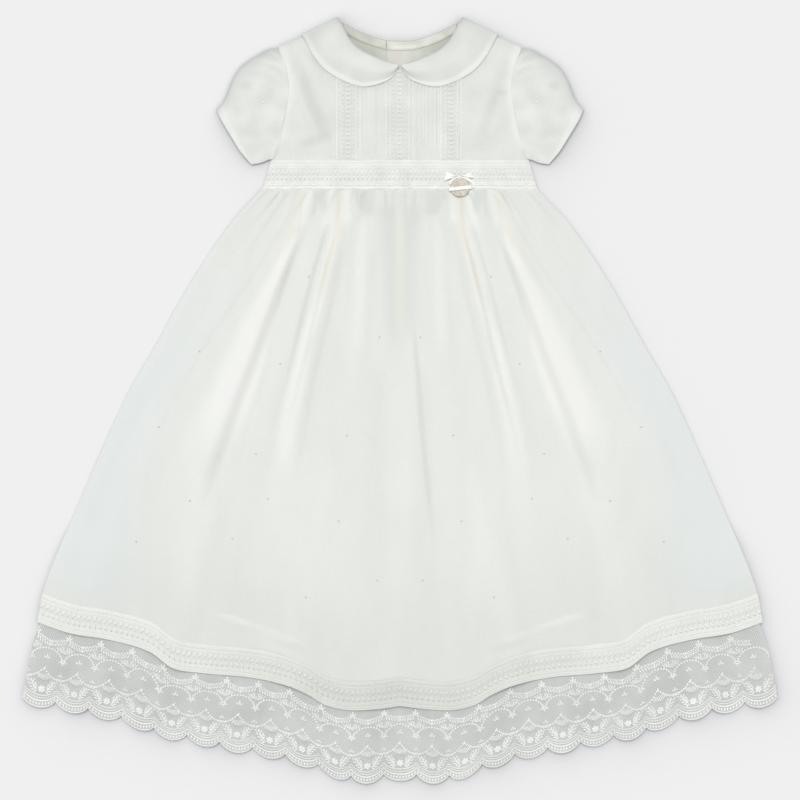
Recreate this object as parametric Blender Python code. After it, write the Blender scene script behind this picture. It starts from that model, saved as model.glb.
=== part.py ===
"""Christening gown for a baby of about three months, laid flat on its back.

+X is to the viewer's right, +Y towards the collar and +Z up. The origin is under the middle
of the gown's outline, on the surface that it lies on. Sizes and tables are in millimetres.
The layers rest on each other: the back panels lie on the surface, the linings on them, the
front panels on the linings, and the collar wraps over the shoulders to the underside.
"""

import math

import bmesh
import bpy
from mathutils import Vector

MM = 0.001

# Cloth
LAYER = 1.0            # wall of a plain, flat layer
FRONT_WALL = 1.2       # wall of the front panels, which rise in folds
GAP = 0.3              # air at a seam and between two layers
STEP = LAYER + GAP     # rise from one flat layer to the next
LINED = 3 * STEP       # underside of a front panel where both linings lie beneath it
UNLINED = STEP         # underside of a front panel where only the back lies beneath it

# Bodice
CHEST = 112.0          # half width at the armholes' narrowest
BODICE_HEM = 235.0     # where the bodice meets the waistband
SHOULDER_TIP = (118.6, 343.5)
NECK_CORNER = (57.5, 371.0)
OVERLAP = 13.0         # how far each back half passes the centre line
COLLAR_LIFT = 1.5      # the back bodice lies on the collar's back part
BUTTON_LIFT = 1.9      # and on the buttons under the centre back
BODICE_LEVEL = 3.0     # underside of the front bodice over the back bodice
PLACKET_RISE = 1.5     # it rises this much more over the lapped, buttoned centre back
PLACKET_HALF = (16.0, 40.0)
STRAIGHT_HALF = 62.7   # columns of the wall run straight down within this of the centre line
NECK_BINDING = 9.5
TUCK_HALF = 0.9
TUCK_HEIGHT = 1.0
BODICE_ROWS = 9        # rows of the front bodice's wall, shared by what lies on it

# Waistband and skirt
BAND_TOP = BODICE_HEM - GAP
BAND_FOOT = 207.5
WAIST = BAND_FOOT - GAP
HEM_BAND = 27.5        # depth of the lace band above the hem
HEM_SIDE = -217.0      # the band's lower edge at the side seam
RUFFLE_SIDE = -298.0   # the ruffle's lower corner
RUFFLE_HALF = 369.5
RUFFLE_TUCKED = 10.0   # the ruffle runs this far up under the hem band
LINING_HEM = 0.955     # where the lining ends, as a share of the skirt's length
FRONT_COLUMNS = 56     # of the walls from the waist to the hem
BACK_COLUMNS = 24
SCALLOPS = 23
SCALLOP_DEPTH = 5.5
RUFFLE_ROWS = (0.0, 0.16, 0.42, 0.72, 1.0)
RUFFLE_WAVES = 11
RUFFLE_WAVE = 2.2
GATHERS = 14           # small gathers below the front waist seam
GATHER_HEIGHT = 1.5
GATHER_CREST = 0.03    # they are highest at this share of the skirt's length
GATHER_END = 0.17
# Rows of the front skirt's wall, closer together at the gathers
SKIRT_ROWS = (
    0.0, 0.03, 0.07, 0.12, 0.18, 0.25, 0.33, 0.41, 0.49, 0.57, 0.65, 0.73, 0.82, 0.91, 1.0,
)

# Half width of the bodice, by height: (height, half width)
BODICE_SIDE = (
    (234.7, 126.4), (242.6, 123.5), (255.3, 119.0), (274.9, 115.2), (289.6, 112.7),
    (302.3, 111.2), (317.0, 112.2), (333.7, 115.2), (343.5, 118.6), (372.0, 122.0),
)
# The front and back necklines: (distance from the centre line, height)
FRONT_NECK = (
    (0.0, 327.3), (10.0, 328.8), (20.0, 333.0), (30.0, 337.6), (40.0, 343.0),
    (49.0, 351.5), (54.0, 361.5), NECK_CORNER,
)
BACK_NECK = (
    (0.0, 351.8), (11.8, 352.3), (19.6, 354.3), (29.4, 357.2), (39.2, 361.1),
    (49.0, 366.0), NECK_CORNER,
)
# Half width of the skirt at its side seam: (height, half width)
SKIRT_SIDE = (
    (207.5, 134.5), (178.0, 162.0), (142.0, 188.0), (100.0, 214.0), (53.0, 240.0),
    (6.0, 267.0), (-51.0, 293.0), (-109.0, 318.0), (-156.0, 338.0), (-189.5, 350.0),
    (-217.0, 355.0),
)
# Lower edge of the hem band, which steps where folds reach it: (distance from the centre, height)
HEM_LINE = (
    (0.0, -298.5), (22.0, -301.5), (50.0, -303.0), (74.0, -297.5), (90.0, -287.5),
    (112.0, -278.0), (150.0, -270.5), (190.0, -267.0), (222.0, -261.5), (245.0, -245.5),
    (285.0, -234.0), (325.0, -227.0), (355.0, -217.0),
)
# Lower edge of the lace ruffle at the scallops' tips: (distance from the centre, height)
RUFFLE_LINE = (
    (0.0, -372.5), (48.0, -375.0), (74.0, -366.0), (106.0, -355.5), (137.0, -349.0),
    (169.0, -343.5), (201.0, -337.0), (235.0, -330.0), (265.0, -319.0), (294.0, -311.5),
    (333.0, -304.0), (369.5, -298.5),
)
# Half width of the lace ruffle at its side: (height, half width)
RUFFLE_END = (
    (-207.0, 350.0), (-217.0, 354.0), (-236.0, 360.5), (-262.0, 365.0), (-298.0, 369.5),
)
# The lining is cut narrower than the overskirt: (share of the length, share of the width)
LINING_SIDE = (
    (0.0, 0.74), (0.06, 0.69), (0.23, 0.74), (0.35, 0.80), (0.50, 0.83), (0.63, 0.84),
    (0.87, 0.78), (1.0, 0.76),
)
# Folds of the overskirt. side 0 is on both sides; the places are shares of the half width and of
# the length: (side, place at the waist, place at the hem, start, end, height, half width)
FOLDS = (
    (0, 0.17, 0.20, 0.02, 0.60, 2.6, 0.075),
    (0, 0.325, 0.41, 0.06, 0.66, 5.0, 0.055),
    (0, 0.47, 0.52, 0.02, 0.55, 3.2, 0.055),
    (0, 0.61, 0.74, 0.07, 0.82, 6.5, 0.085),
    (0, 0.80, 0.84, 0.02, 0.40, 2.4, 0.070),
    (1, -0.01, 0.09, 0.22, 0.82, 4.0, 0.060),
    (0, 0.26, 0.29, 0.56, 1.30, 5.0, 0.095),
    (0, 0.62, 0.66, 0.60, 1.30, 3.6, 0.110),
    (0, 0.84, 0.86, 0.50, 1.30, 2.6, 0.085),
    (1, -0.02, -0.02, 0.72, 1.30, 3.0, 0.130),
)
# Soft creases of the front bodice: (start x, start y, end x, end y, height, half width)
BODICE_CREASES = (
    (-108.0, 318.0, -72.0, 245.0, 1.6, 9.0),
    (108.0, 312.0, 96.0, 300.0, 1.5, 7.0),
    (104.0, 292.0, 78.0, 246.0, 1.2, 10.0),
    (-100.0, 338.0, -84.0, 300.0, 1.0, 8.0),
)
# Pintucks and plain tucks of the front bodice, by their place across
TUCKS = (-36.3, -33.3, -23.5, 16.6, 20.5, 26.5, 31.5, 35.0)
# Lace insertions of the front bodice: (name, columns across)
LACE_STRIPS = (
    ("lace_strip_left", (-62.7, -54.0, -46.0, -38.2)),
    ("lace_strip_centre", (-14.7, -8.0, -1.0, 6.0, 13.7)),
    ("lace_strip_right", (39.2, 46.5, 53.9, 60.8)),
)
# Other columns of the front bodice's wall, by their place across at the chest
BODICE_COLUMNS = (
    -112.0, -105.0, -96.0, -86.0, -76.0, -68.0, -57.5, -50.0, -42.0, -28.5, 44.0, 50.0,
    57.5, 68.0, 76.0, 86.0, 96.0, 105.0, 112.0,
)
# Columns of one back half, from the other side of the centre line outwards
BACK_BODICE_COLUMNS = (
    -OVERLAP, -6.0, 2.0, 12.0, 24.0, 38.0, 49.0, 57.5, 70.0, 84.0, 98.0, CHEST,
)
# Stations of the collar's front part, from its rounded front end to the shoulder:
# (neck edge x, neck edge y, outer edge x, outer edge y)
COLLAR_FRONT = (
    (1.6, 328.3, 2.2, 323.5), (5.0, 329.2, 8.0, 315.6), (11.0, 330.6, 15.0, 311.4),
    (20.0, 334.0, 25.0, 308.0), (30.0, 338.6, 37.0, 306.8), (39.5, 343.8, 50.0, 310.2),
    (47.5, 351.4, 62.5, 316.2), (52.8, 360.4, 75.0, 325.0), (56.2, 367.6, 86.0, 338.8),
)
# The fold line of the collar on the shoulder, neck end and outer end
COLLAR_FOLD = ((60.8, 375.6), (96.2, 358.6))
# Stations of its back part, from the shoulder to the centre back, as above
COLLAR_BACK = (
    (54.0, 369.4, 92.0, 345.0), (46.0, 364.4, 84.0, 335.0), (35.0, 359.2, 68.0, 326.5),
    (22.0, 355.0, 42.0, 321.5), (8.0, 352.2, 12.0, 324.0),
)
COLLAR_WALL = 1.2
COLLAR_OVER_LACE = 1.8   # the leaf clears the lace strips and tucks by this
COLLAR_OVER_CLOTH = 0.7  # and the plain cloth beyond them by this
COLLAR_ROWS = 4
FOLD_TURNS = 4
COLLAR_CROWN = 1.3     # the collar's leaf rises this much between its edges
# Edges of a sleeve laid flat, from the bodice outwards
SLEEVE_HEAD = (
    (119.2, 345.0), (127.4, 344.5), (137.2, 339.6), (147.0, 333.7), (156.8, 325.9),
    (163.7, 315.1), (168.6, 303.3), (173.0, 293.0), (180.0, 284.7),
)
SLEEVE_UNDERARM = ((127.2, 236.2), (136.0, 232.6), (145.5, 231.0))
SLEEVE_CUFF = ((180.0, 284.7), (173.5, 272.0), (164.6, 257.3), (155.8, 243.2), (145.5, 231.0))
SLEEVE_WALL = 1.1
SLEEVE_TOP = 4.2       # height of the flattened sleeve
SLEEVE_PUFF = 1.0
SLEEVE_INSET = 0.022   # the inner ring stops this share of the width short of each folded edge
SLEEVE_GATHERS = 6
# Bow and round charm on the waistband
CHARM_AT = (58.8, 208.4)
CHARM_RADIUS = 9.6
CHARM_THICK = 2.0
RIBBON_BAR = (22.0, 3.2, 1.0)
BOW_LOOPS = (
    ("bow_loop_left", ((45.4, 224.4), (55.6, 219.4), (42.6, 214.0), (50.6, 217.0))),
    ("bow_loop_right", ((60.2, 220.0), (71.0, 223.9), (65.2, 217.6), (71.5, 217.2))),
)
BOW_CROWN = 1.8
BUTTON_HEIGHTS = (343.0, 301.0, 258.0)
BUTTON_RADIUS = 4.5
BUTTON_THICK = 1.4
BUTTON_CLEAR = 0.2

# Colours, roughness and metal of the finishes
FINISHES = {
    "organza": ((0.86, 0.87, 0.84), 0.55, 0.0),
    "lining": ((0.84, 0.86, 0.85), 0.60, 0.0),
    "bodice_cloth": ((0.86, 0.87, 0.83), 0.55, 0.0),
    "lace": ((0.88, 0.88, 0.85), 0.65, 0.0),
    "net_lace": ((0.80, 0.81, 0.80), 0.65, 0.0),
    "satin": ((0.93, 0.93, 0.90), 0.30, 0.0),
    "charm": ((0.62, 0.57, 0.48), 0.35, 0.4),
    "pearl": ((0.88, 0.87, 0.82), 0.25, 0.0),
}


def smooth(low, high, value):
    """0 below low, 1 above high and an even slope between."""
    share = min(1.0, max(0.0, (value - low) / (high - low)))
    return share * share * (3.0 - 2.0 * share)


def mix(first, second, share):
    return first + (second - first) * share


def curve(rows, at):
    """A smooth curve through the rows' points, read at a place; the ends are held."""
    rows = sorted(rows)
    if at <= rows[0][0]:
        return rows[0][1]
    if at >= rows[-1][0]:
        return rows[-1][1]
    index = next(i for i in range(len(rows) - 1) if at <= rows[i + 1][0])
    (x0, y0), (x1, y1) = rows[index], rows[index + 1]

    def slope(i):
        low, high = max(0, i - 1), min(len(rows) - 1, i + 1)
        return (rows[high][1] - rows[low][1]) / (rows[high][0] - rows[low][0])

    span = x1 - x0
    t = (at - x0) / span
    start, end = slope(index) * span, slope(index + 1) * span
    return (
        y0 * (2 * t**3 - 3 * t**2 + 1) + y1 * (3 * t**2 - 2 * t**3)
        + start * (t**3 - 2 * t**2 + t) + end * (t**3 - t**2)
    )


def straight(rows, at):
    """A broken line through the rows' points, read at a place from 0 to 1 along the rows."""
    place = min(0.999999, max(0.0, at)) * (len(rows) - 1)
    index = int(place)
    share = place - index
    return mix(Vector(rows[index]), Vector(rows[index + 1]), share)


def finish_named(name):
    """The material of one finish, made once."""
    if name in bpy.data.materials:
        return bpy.data.materials[name]
    colour, roughness, metal = FINISHES[name]
    material = bpy.data.materials.new(name)
    material.use_nodes = True
    shader = material.node_tree.nodes["Principled BSDF"]
    shader.inputs["Base Color"].default_value = (*colour, 1.0)
    shader.inputs["Roughness"].default_value = roughness
    shader.inputs["Metallic"].default_value = metal
    return material


def add_piece(name, bm, finish, smooth_faces=True):
    """Puts a finished mesh in the scene as one named piece."""
    bmesh.ops.recalc_face_normals(bm, faces=bm.faces[:])
    bmesh.ops.triangulate(bm, faces=bm.faces[:], quad_method="SHORT_EDGE")
    mesh = bpy.data.meshes.new(name)
    bm.to_mesh(mesh)
    bm.free()
    if smooth_faces:
        mesh.shade_smooth()
        mesh.set_sharp_from_angle(angle=math.radians(40))
    mesh.materials.append(finish_named(finish))
    piece = bpy.data.objects.new(name, mesh)
    bpy.context.scene.collection.objects.link(piece)
    return piece


def panel(name, columns, rows, place, wall, finish):
    """A closed wall of cloth. place(across, along) gives a point of its underside; both run 0 to 1."""
    bm = bmesh.new()
    bmesh.ops.create_grid(bm, x_segments=columns, y_segments=rows, size=0.5)
    for vertex in bm.verts:
        vertex.co = Vector(place(vertex.co.x + 0.5, vertex.co.y + 0.5)) * MM
    upper = bmesh.ops.extrude_face_region(bm, geom=bm.faces[:], use_keep_orig=True)
    for item in upper["geom"]:
        if isinstance(item, bmesh.types.BMVert):
            item.co.z += wall * MM
    return add_piece(name, bm, finish)


def rings_wall(name, outer, inner, finish):
    """A closed wall between outer and inner rings, open at both ends of its tube."""
    bm = bmesh.new()
    count = len(outer[0])
    out = [[bm.verts.new(Vector(point) * MM) for point in ring] for ring in outer]
    within = [[bm.verts.new(Vector(point) * MM) for point in ring] for ring in inner]
    for i in range(count):
        j = (i + 1) % count
        for k in range(len(outer) - 1):
            bm.faces.new((out[k][i], out[k][j], out[k + 1][j], out[k + 1][i]))
            bm.faces.new((within[k][j], within[k][i], within[k + 1][i], within[k + 1][j]))
        bm.faces.new((out[0][j], out[0][i], within[0][i], within[0][j]))
        bm.faces.new((out[-1][i], out[-1][j], within[-1][j], within[-1][i]))
    return add_piece(name, bm, finish)


# Bodice


def armhole(height):
    return curve(BODICE_SIDE, height)


def top_edge(neckline, across):
    """Height of a bodice panel's upper edge: the neckline, then the shoulder seam."""
    across = abs(across)
    if across <= NECK_CORNER[0]:
        return curve(neckline, across)
    share = (across - NECK_CORNER[0]) / (SHOULDER_TIP[0] - NECK_CORNER[0])
    return mix(NECK_CORNER[1], SHOULDER_TIP[1], share)


def fanned(across, height):
    """Columns near the middle are straight; towards the armhole they follow its curve."""
    if abs(across) <= STRAIGHT_HALF:
        return across
    share = (abs(across) - STRAIGHT_HALF) / (CHEST - STRAIGHT_HALF)
    return math.copysign(mix(STRAIGHT_HALF, armhole(height), share), across)


def crease_rise(creases, x, y):
    """Height that the soft creases add at a point."""
    rise = 0.0
    for x0, y0, x1, y1, height, half in creases:
        length = math.hypot(x1 - x0, y1 - y0)
        along = ((x - x0) * (x1 - x0) + (y - y0) * (y1 - y0)) / length**2
        off = ((x - x0) * (y1 - y0) - (y - y0) * (x1 - x0)) / length
        if 0.0 < along < 1.0 and abs(off) < half:
            rise += height * math.cos(math.pi * off / half / 2) ** 2 * math.sin(math.pi * along)
    return rise


def front_level(x, y):
    """Underside of the front bodice, without its tucks."""
    inset = armhole(y) - abs(x)
    placket = PLACKET_RISE * (1.0 - smooth(*PLACKET_HALF, abs(x)))
    shoulder = smooth(310.0, 326.0, y) * (1.0 - smooth(104.0, 114.0, abs(x)))
    over_back = max(smooth(0.0, 14.0, inset), shoulder)
    rise = crease_rise(BODICE_CREASES, x, y)
    return mix(UNLINED, BODICE_LEVEL + placket, over_back) + rise


def front_bodice():
    tuck_sides = [at + side * TUCK_HALF for at in TUCKS for side in (-1, 0, 1)]
    strip_columns = [at for _, columns in LACE_STRIPS for at in columns]
    columns = sorted([*BODICE_COLUMNS, *strip_columns, *tuck_sides])

    def place(across, along):
        column = columns[round(across * (len(columns) - 1))]
        upper = top_edge(FRONT_NECK, column)
        y = mix(BODICE_HEM, upper, along)
        x = fanned(column, y)
        return x, y, front_level(x, y)

    piece = panel("bodice_front", len(columns) - 1, BODICE_ROWS, place, FRONT_WALL, "bodice_cloth")
    crests = [round(at, 3) for at in TUCKS]
    for vertex in piece.data.vertices:
        x, y, z = vertex.co / MM
        on_top = z > front_level(x, y) + FRONT_WALL / 2
        if on_top and round(x, 3) in crests:
            vertex.co.z += TUCK_HEIGHT * MM
    return piece


def lace_strips():
    """Each strip of lace lies on the front bodice, on the same columns as its wall."""
    for name, columns in LACE_STRIPS:

        def place(across, along, columns=columns):
            column = columns[round(across * (len(columns) - 1))]
            y = mix(BODICE_HEM, top_edge(FRONT_NECK, column), along)
            return column, y, front_level(column, y) + FRONT_WALL + GAP

        panel(name, len(columns) - 1, BODICE_ROWS, place, LAYER, "lace")


def back_lift(x, y):
    """Underside of the back bodice: up on the collar and the buttons, else on the surface."""
    collar = COLLAR_LIFT * smooth(303.0, 316.0, y) * (1.0 - smooth(102.0, 112.0, abs(x)))
    buttons = BUTTON_LIFT * (1.0 - smooth(8.0, 26.0, abs(x))) * smooth(236.0, 248.0, y)
    return max(collar, buttons)


def back_level(side, x, y):
    """Underside of one back half. The right half laps over the left one."""
    lap = STEP * (1.0 - smooth(14.0, 24.0, x)) if side > 0 else 0.0
    return back_lift(x, y) + lap


def back_bodice():
    last = len(BACK_BODICE_COLUMNS) - 1
    for name, side in (("bodice_back_left", -1), ("bodice_back_right", 1)):

        def place(across, along, side=side):
            column = side * BACK_BODICE_COLUMNS[round(across * last)]
            y = mix(BODICE_HEM, top_edge(BACK_NECK, column), along)
            x = fanned(column, y)
            return x, y, back_level(side, x, y)

        panel(name, last, 8, place, LAYER, "bodice_cloth")


def neck_bindings():
    """A narrow binding inside each half of the back neck."""
    for name, side, inner, outer in (
        ("neck_binding_left", -1, -OVERLAP - 0.6, -46.0),
        ("neck_binding_right", 1, -OVERLAP + 0.2, 46.0),
    ):

        def place(across, along, side=side, inner=inner, outer=outer):
            x = mix(inner, outer, across)
            y = curve(BACK_NECK, abs(x)) - mix(NECK_BINDING, GAP, along)
            return x, y, back_level(side, x, y) + LAYER + GAP

        panel(name, 9, 2, place, LAYER, "satin")


# Waistband and skirt


def skirt_half(side_height):
    return curve(SKIRT_SIDE, side_height)


def hem_height(share):
    """Lower edge of the hem band at a share of the half width."""
    return curve(HEM_LINE, abs(share) * HEM_LINE[-1][0])


def skirt_point(share, length):
    """x and y at a share of the half width and of the length; the hem band is beyond length 1."""
    side_top = HEM_SIDE + HEM_BAND
    hem_top = hem_height(share) + HEM_BAND
    side = mix(WAIST, side_top, length)
    y = mix(WAIST, hem_top, length)
    if length > 1.0:
        side = side_top - (length - 1.0) * (WAIST - side_top)
        y = hem_top - (length - 1.0) * (WAIST - side_top)
    return share * skirt_half(side), y


def fold_rise(share, length):
    """Height that the folds and gathers add at a place on the skirt."""
    rise = 0.0
    for side, at_waist, at_hem, start, end, height, half in FOLDS:
        for hand in (1,) if side else (1, -1):
            off = (share - hand * mix(at_waist, at_hem, length)) / half
            if abs(off) < 1.0:
                ramp = smooth(start, start + 0.14, length) * (1.0 - smooth(end - 0.24, end, length))
                rise += height * math.cos(math.pi * off / 2) ** 2 * ramp
    gather = 0.5 + 0.5 * math.cos(2 * math.pi * GATHERS * (share + 1) / 2)
    gathered = smooth(0.0, GATHER_CREST, length) * (1.0 - smooth(GATHER_CREST, GATHER_END, length))
    return rise + GATHER_HEIGHT * gather * gathered


def skirt_level(share, length):
    """Underside of the overskirt: over the linings, over the ruffle, or down on the back."""
    edge = curve(LINING_SIDE, length)
    lined = 1.0 - smooth(edge + 0.02, edge + 0.10, abs(share))
    at_hem = smooth(0.80, 0.90, length)
    level = mix(UNLINED, LINED, max(lined, at_hem))
    seam = 1.0 - smooth(0.93, 1.0, abs(share))
    return level + fold_rise(share, length) * seam


def waistbands():
    def front(across, along):
        share = 2 * across - 1
        y = mix(BAND_FOOT, BAND_TOP, along)
        x = share * mix(skirt_half(BAND_FOOT), armhole(BAND_TOP), along)
        above = front_level(share * armhole(BODICE_HEM), BODICE_HEM)
        return x, y, mix(skirt_level(share, 0.0), above, along)

    def back(across, along):
        share = 2 * across - 1
        y = mix(BAND_FOOT, BAND_TOP, along)
        return share * mix(skirt_half(BAND_FOOT), armhole(BAND_TOP), along), y, 0.0

    panel("waistband_front", FRONT_COLUMNS, 1, front, FRONT_WALL, "lace")
    panel("waistband_back", 12, 1, back, LAYER, "lace")


def skirts():
    last = len(SKIRT_ROWS) - 1

    def front(across, along):
        share, length = 2 * across - 1, SKIRT_ROWS[round(along * last)]
        x, y = skirt_point(share, length)
        return x, y, skirt_level(share, length)

    def back(across, along):
        x, y = skirt_point(2 * across - 1, along)
        return x, y, 0.0

    panel("skirt_front", FRONT_COLUMNS, last, front, FRONT_WALL, "organza")
    panel("skirt_back", BACK_COLUMNS, 7, back, LAYER, "organza")


def linings():
    for name, layer in (("lining_front", 2), ("lining_back", 1)):

        def place(across, along, layer=layer):
            length = mix(0.002, LINING_HEM, along)
            share = (2 * across - 1) * curve(LINING_SIDE, length)
            x, y = skirt_point(share, length)
            return x, y, layer * STEP

        panel(name, 10, 7, place, LAYER, "lining")


def hem_bands():
    seam = GAP / (WAIST - HEM_SIDE - HEM_BAND)
    deep = HEM_BAND / (WAIST - HEM_SIDE - HEM_BAND)

    def front(across, along):
        share = 2 * across - 1
        length = 1.0 + mix(seam, deep, along)
        x, y = skirt_point(share, length)
        return x, y, skirt_level(share, length)

    def back(across, along):
        x, y = skirt_point(2 * across - 1, 1.0 + mix(seam, deep, along))
        return x, y, 0.0

    panel("hem_band_front", FRONT_COLUMNS, 2, front, FRONT_WALL, "lace")
    panel("hem_band_back", BACK_COLUMNS, 1, back, LAYER, "lace")


def ruffle_point(share, drop):
    """x and y of the lace ruffle; drop runs from 0 at its seam to 1 at the scallops."""
    side_top = HEM_SIDE + RUFFLE_TUCKED
    side = mix(side_top, RUFFLE_SIDE, drop)
    x = share * curve(RUFFLE_END, side)
    scallop = SCALLOP_DEPTH * (1.0 - abs(math.sin(math.pi * SCALLOPS * (share + 1) / 2)))
    foot = curve(RUFFLE_LINE, abs(share) * RUFFLE_HALF) + scallop
    return x, mix(hem_height(share) + RUFFLE_TUCKED, foot, drop)


def ruffles():
    def level(drop, layer):
        """The ruffle leaves its seam between the hem bands and sinks to rest beyond them."""
        below = max(0.0, (drop - RUFFLE_ROWS[1]) / (1.0 - RUFFLE_ROWS[1]))
        return STEP * (layer + 1 - below)

    def front(across, along):
        share, drop = 2 * across - 1, RUFFLE_ROWS[round(along * (len(RUFFLE_ROWS) - 1))]
        x, y = ruffle_point(share * mix(0.992, 1.0, drop), drop)
        wave = 0.5 + 0.5 * math.cos(2 * math.pi * RUFFLE_WAVES * (share + 1) / 2 + 0.6)
        return x, y, level(drop, 1) + RUFFLE_WAVE * wave * smooth(0.2, 0.7, drop)

    def back(across, along):
        share, drop = 2 * across - 1, (0.0, RUFFLE_ROWS[1], 1.0)[round(along * 2)]
        x, y = ruffle_point(share * mix(0.992, 1.0, drop), drop)
        return x, y, level(drop, 0)

    panel("ruffle_front", 4 * SCALLOPS, len(RUFFLE_ROWS) - 1, front, LAYER, "net_lace")
    panel("ruffle_back", 4 * SCALLOPS, 2, back, LAYER, "net_lace")


# Collar, sleeves and trim


def collar_leaf(name, hand):
    """One half of the collar: over the front bodice, round the shoulder fold, under the back."""
    neck_fold, outer_fold = (Vector(end) for end in COLLAR_FOLD)
    shoulder = outer_fold - neck_fold
    outward = Vector((-shoulder.y, shoulder.x)).normalized()

    def top_height(x, y):
        clear = mix(COLLAR_OVER_LACE, COLLAR_OVER_CLOTH, smooth(62.0, 74.0, abs(x)))
        return front_level(hand * x, y) + FRONT_WALL + clear + COLLAR_WALL

    def line(row):
        share = row / COLLAR_ROWS
        crown = COLLAR_CROWN * math.sin(math.pi * (0.15 + 0.85 * share) ** 0.7)
        points = []
        for neck_x, neck_y, outer_x, outer_y in COLLAR_FRONT:
            x, y = mix(neck_x, outer_x, share), mix(neck_y, outer_y, share)
            points.append((x, y, top_height(x, y) + crown))
        fold = mix(neck_fold, outer_fold, share)
        radius = (top_height(*fold) + crown * 0.4) / 2
        for turn in range(FOLD_TURNS + 1):
            angle = math.pi * turn / FOLD_TURNS
            x, y = fold - outward * radius * (1 - math.sin(angle))
            points.append((x, y, radius * (1 + math.cos(angle))))
        for neck_x, neck_y, outer_x, outer_y in COLLAR_BACK:
            points.append((mix(neck_x, outer_x, share), mix(neck_y, outer_y, share), 0.0))
        return points

    bm = bmesh.new()
    lines = [
        [bm.verts.new(Vector((hand * x, y, z)) * MM) for x, y, z in line(row)]
        for row in range(COLLAR_ROWS + 1)
    ]
    for row in range(COLLAR_ROWS):
        for i in range(len(lines[0]) - 1):
            corners = (lines[row][i], lines[row][i + 1], lines[row + 1][i + 1], lines[row + 1][i])
            bm.faces.new(corners[::-1] if hand > 0 else corners)
    bm.normal_update()
    outside = bm.verts[:]
    inner = {vertex: bm.verts.new(vertex.co - vertex.normal * COLLAR_WALL * MM) for vertex in outside}
    edges = [edge for edge in bm.edges if edge.is_boundary]
    for face in bm.faces[:]:
        bm.faces.new([inner[vertex] for vertex in reversed(face.verts[:])])
    for edge in edges:
        start, end = edge.verts
        bm.faces.new((start, end, inner[end], inner[start]))
    return add_piece(name, bm, "bodice_cloth")


def sleeve_plan(out, down):
    """Plan place in a sleeve laid flat: out from armhole to cuff, down from head to underarm."""
    top_y, low_y = SLEEVE_HEAD[0][1], SLEEVE_UNDERARM[0][1]

    def seam(share):
        y = mix(top_y, low_y, share)
        return Vector((armhole(y) + 0.6, y))

    head, cuff = straight(SLEEVE_HEAD, out), straight(SLEEVE_CUFF, down)
    under = straight(SLEEVE_UNDERARM, out)
    ruled = mix(seam(down), cuff, out) + mix(head, under, down)
    cuff_ends = mix(Vector(SLEEVE_CUFF[0]), Vector(SLEEVE_CUFF[-1]), down)
    return ruled - mix(mix(seam(0), seam(1), down), cuff_ends, out)


def sleeve(name, hand):
    """A short sleeve pressed flat: one tube from the armhole to the open cuff."""
    rings, across = 7, 15
    shares = [(1 - math.cos(math.pi * i / across)) / 2 for i in range(across + 1)]

    def height(out, down):
        gather = 0.5 + 0.5 * math.cos(2 * math.pi * SLEEVE_GATHERS * down)
        gathers = 0.9 * gather * (1 - smooth(0.45, 0.75, down)) * (1 - smooth(0.0, 0.55, out))
        puff = SLEEVE_PUFF * math.sin(math.pi * down) * math.sin(math.pi * min(1, out + 0.15) / 1.15)
        return SLEEVE_TOP + gathers + puff

    def ring(out, inset):
        points = []
        for side, order in ((1, shares), (-1, shares[-2:0:-1])):
            for share in order:
                x, y = sleeve_plan(out, mix(inset, 1 - inset, share))
                edge = min(1.0, 2.2 * math.sqrt(max(0.0, share * (1 - share))))
                inside = SLEEVE_WALL if inset else 0.0
                top = height(out, share) - inside
                middle = (top + inside) / 2
                points.append((hand * x, y, middle + side * (top - inside) / 2 * edge))
        return points

    steps = [i / (rings - 1) for i in range(rings)]
    outer = [ring(step, 0.0) for step in steps]
    within = [ring(step, SLEEVE_INSET) for step in steps]
    return rings_wall(name, outer, within, "bodice_cloth")


def band_top(x, y):
    """Upper face of the waistband at a point."""
    along = (y - BAND_FOOT) / (BAND_TOP - BAND_FOOT)
    share = x / mix(skirt_half(BAND_FOOT), armhole(BAND_TOP), along)
    above = front_level(share * armhole(BODICE_HEM), BODICE_HEM)
    return mix(skirt_level(share, 0.0), above, along) + FRONT_WALL


def skirt_top(x, y):
    """Upper face of the front skirt at a point near the waist."""
    share = x / skirt_half(y)
    length = (WAIST - y) / (WAIST - hem_height(share) - HEM_BAND)
    return skirt_level(share, length) + FRONT_WALL


def disc(name, centre, radius, low, thick, finish, turned=20):
    """A round piece with softened rims."""
    bm = bmesh.new()
    bmesh.ops.create_cone(
        bm, cap_ends=True, segments=turned, radius1=radius * MM, radius2=radius * MM, depth=thick * MM
    )
    rims = [edge for edge in bm.edges if abs(edge.verts[0].co.z - edge.verts[1].co.z) < 1e-6]
    bmesh.ops.bevel(
        bm, geom=rims, offset=thick * 0.3 * MM, segments=1, profile=0.5, affect="EDGES", material=-1
    )
    bmesh.ops.translate(bm, verts=bm.verts[:], vec=Vector((*centre, low + thick / 2)) * MM)
    return add_piece(name, bm, finish)


def bow():
    for name, corners in BOW_LOOPS:
        top_in, top_out, low_in, low_out = (Vector(corner) for corner in corners)

        def place(across, along, ends=(top_in, top_out, low_in, low_out)):
            upper, lower = mix(ends[0], ends[1], across), mix(ends[2], ends[3], across)
            x, y = mix(lower, upper, along)
            crown = BOW_CROWN * math.sin(math.pi * across) * math.sin(math.pi * along)
            rest = max(band_top(x + step, y) for step in (-3, 0, 3))
            return x, y, rest + 2 * GAP + crown

        panel(name, 5, 4, place, LAYER, "satin")


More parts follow.
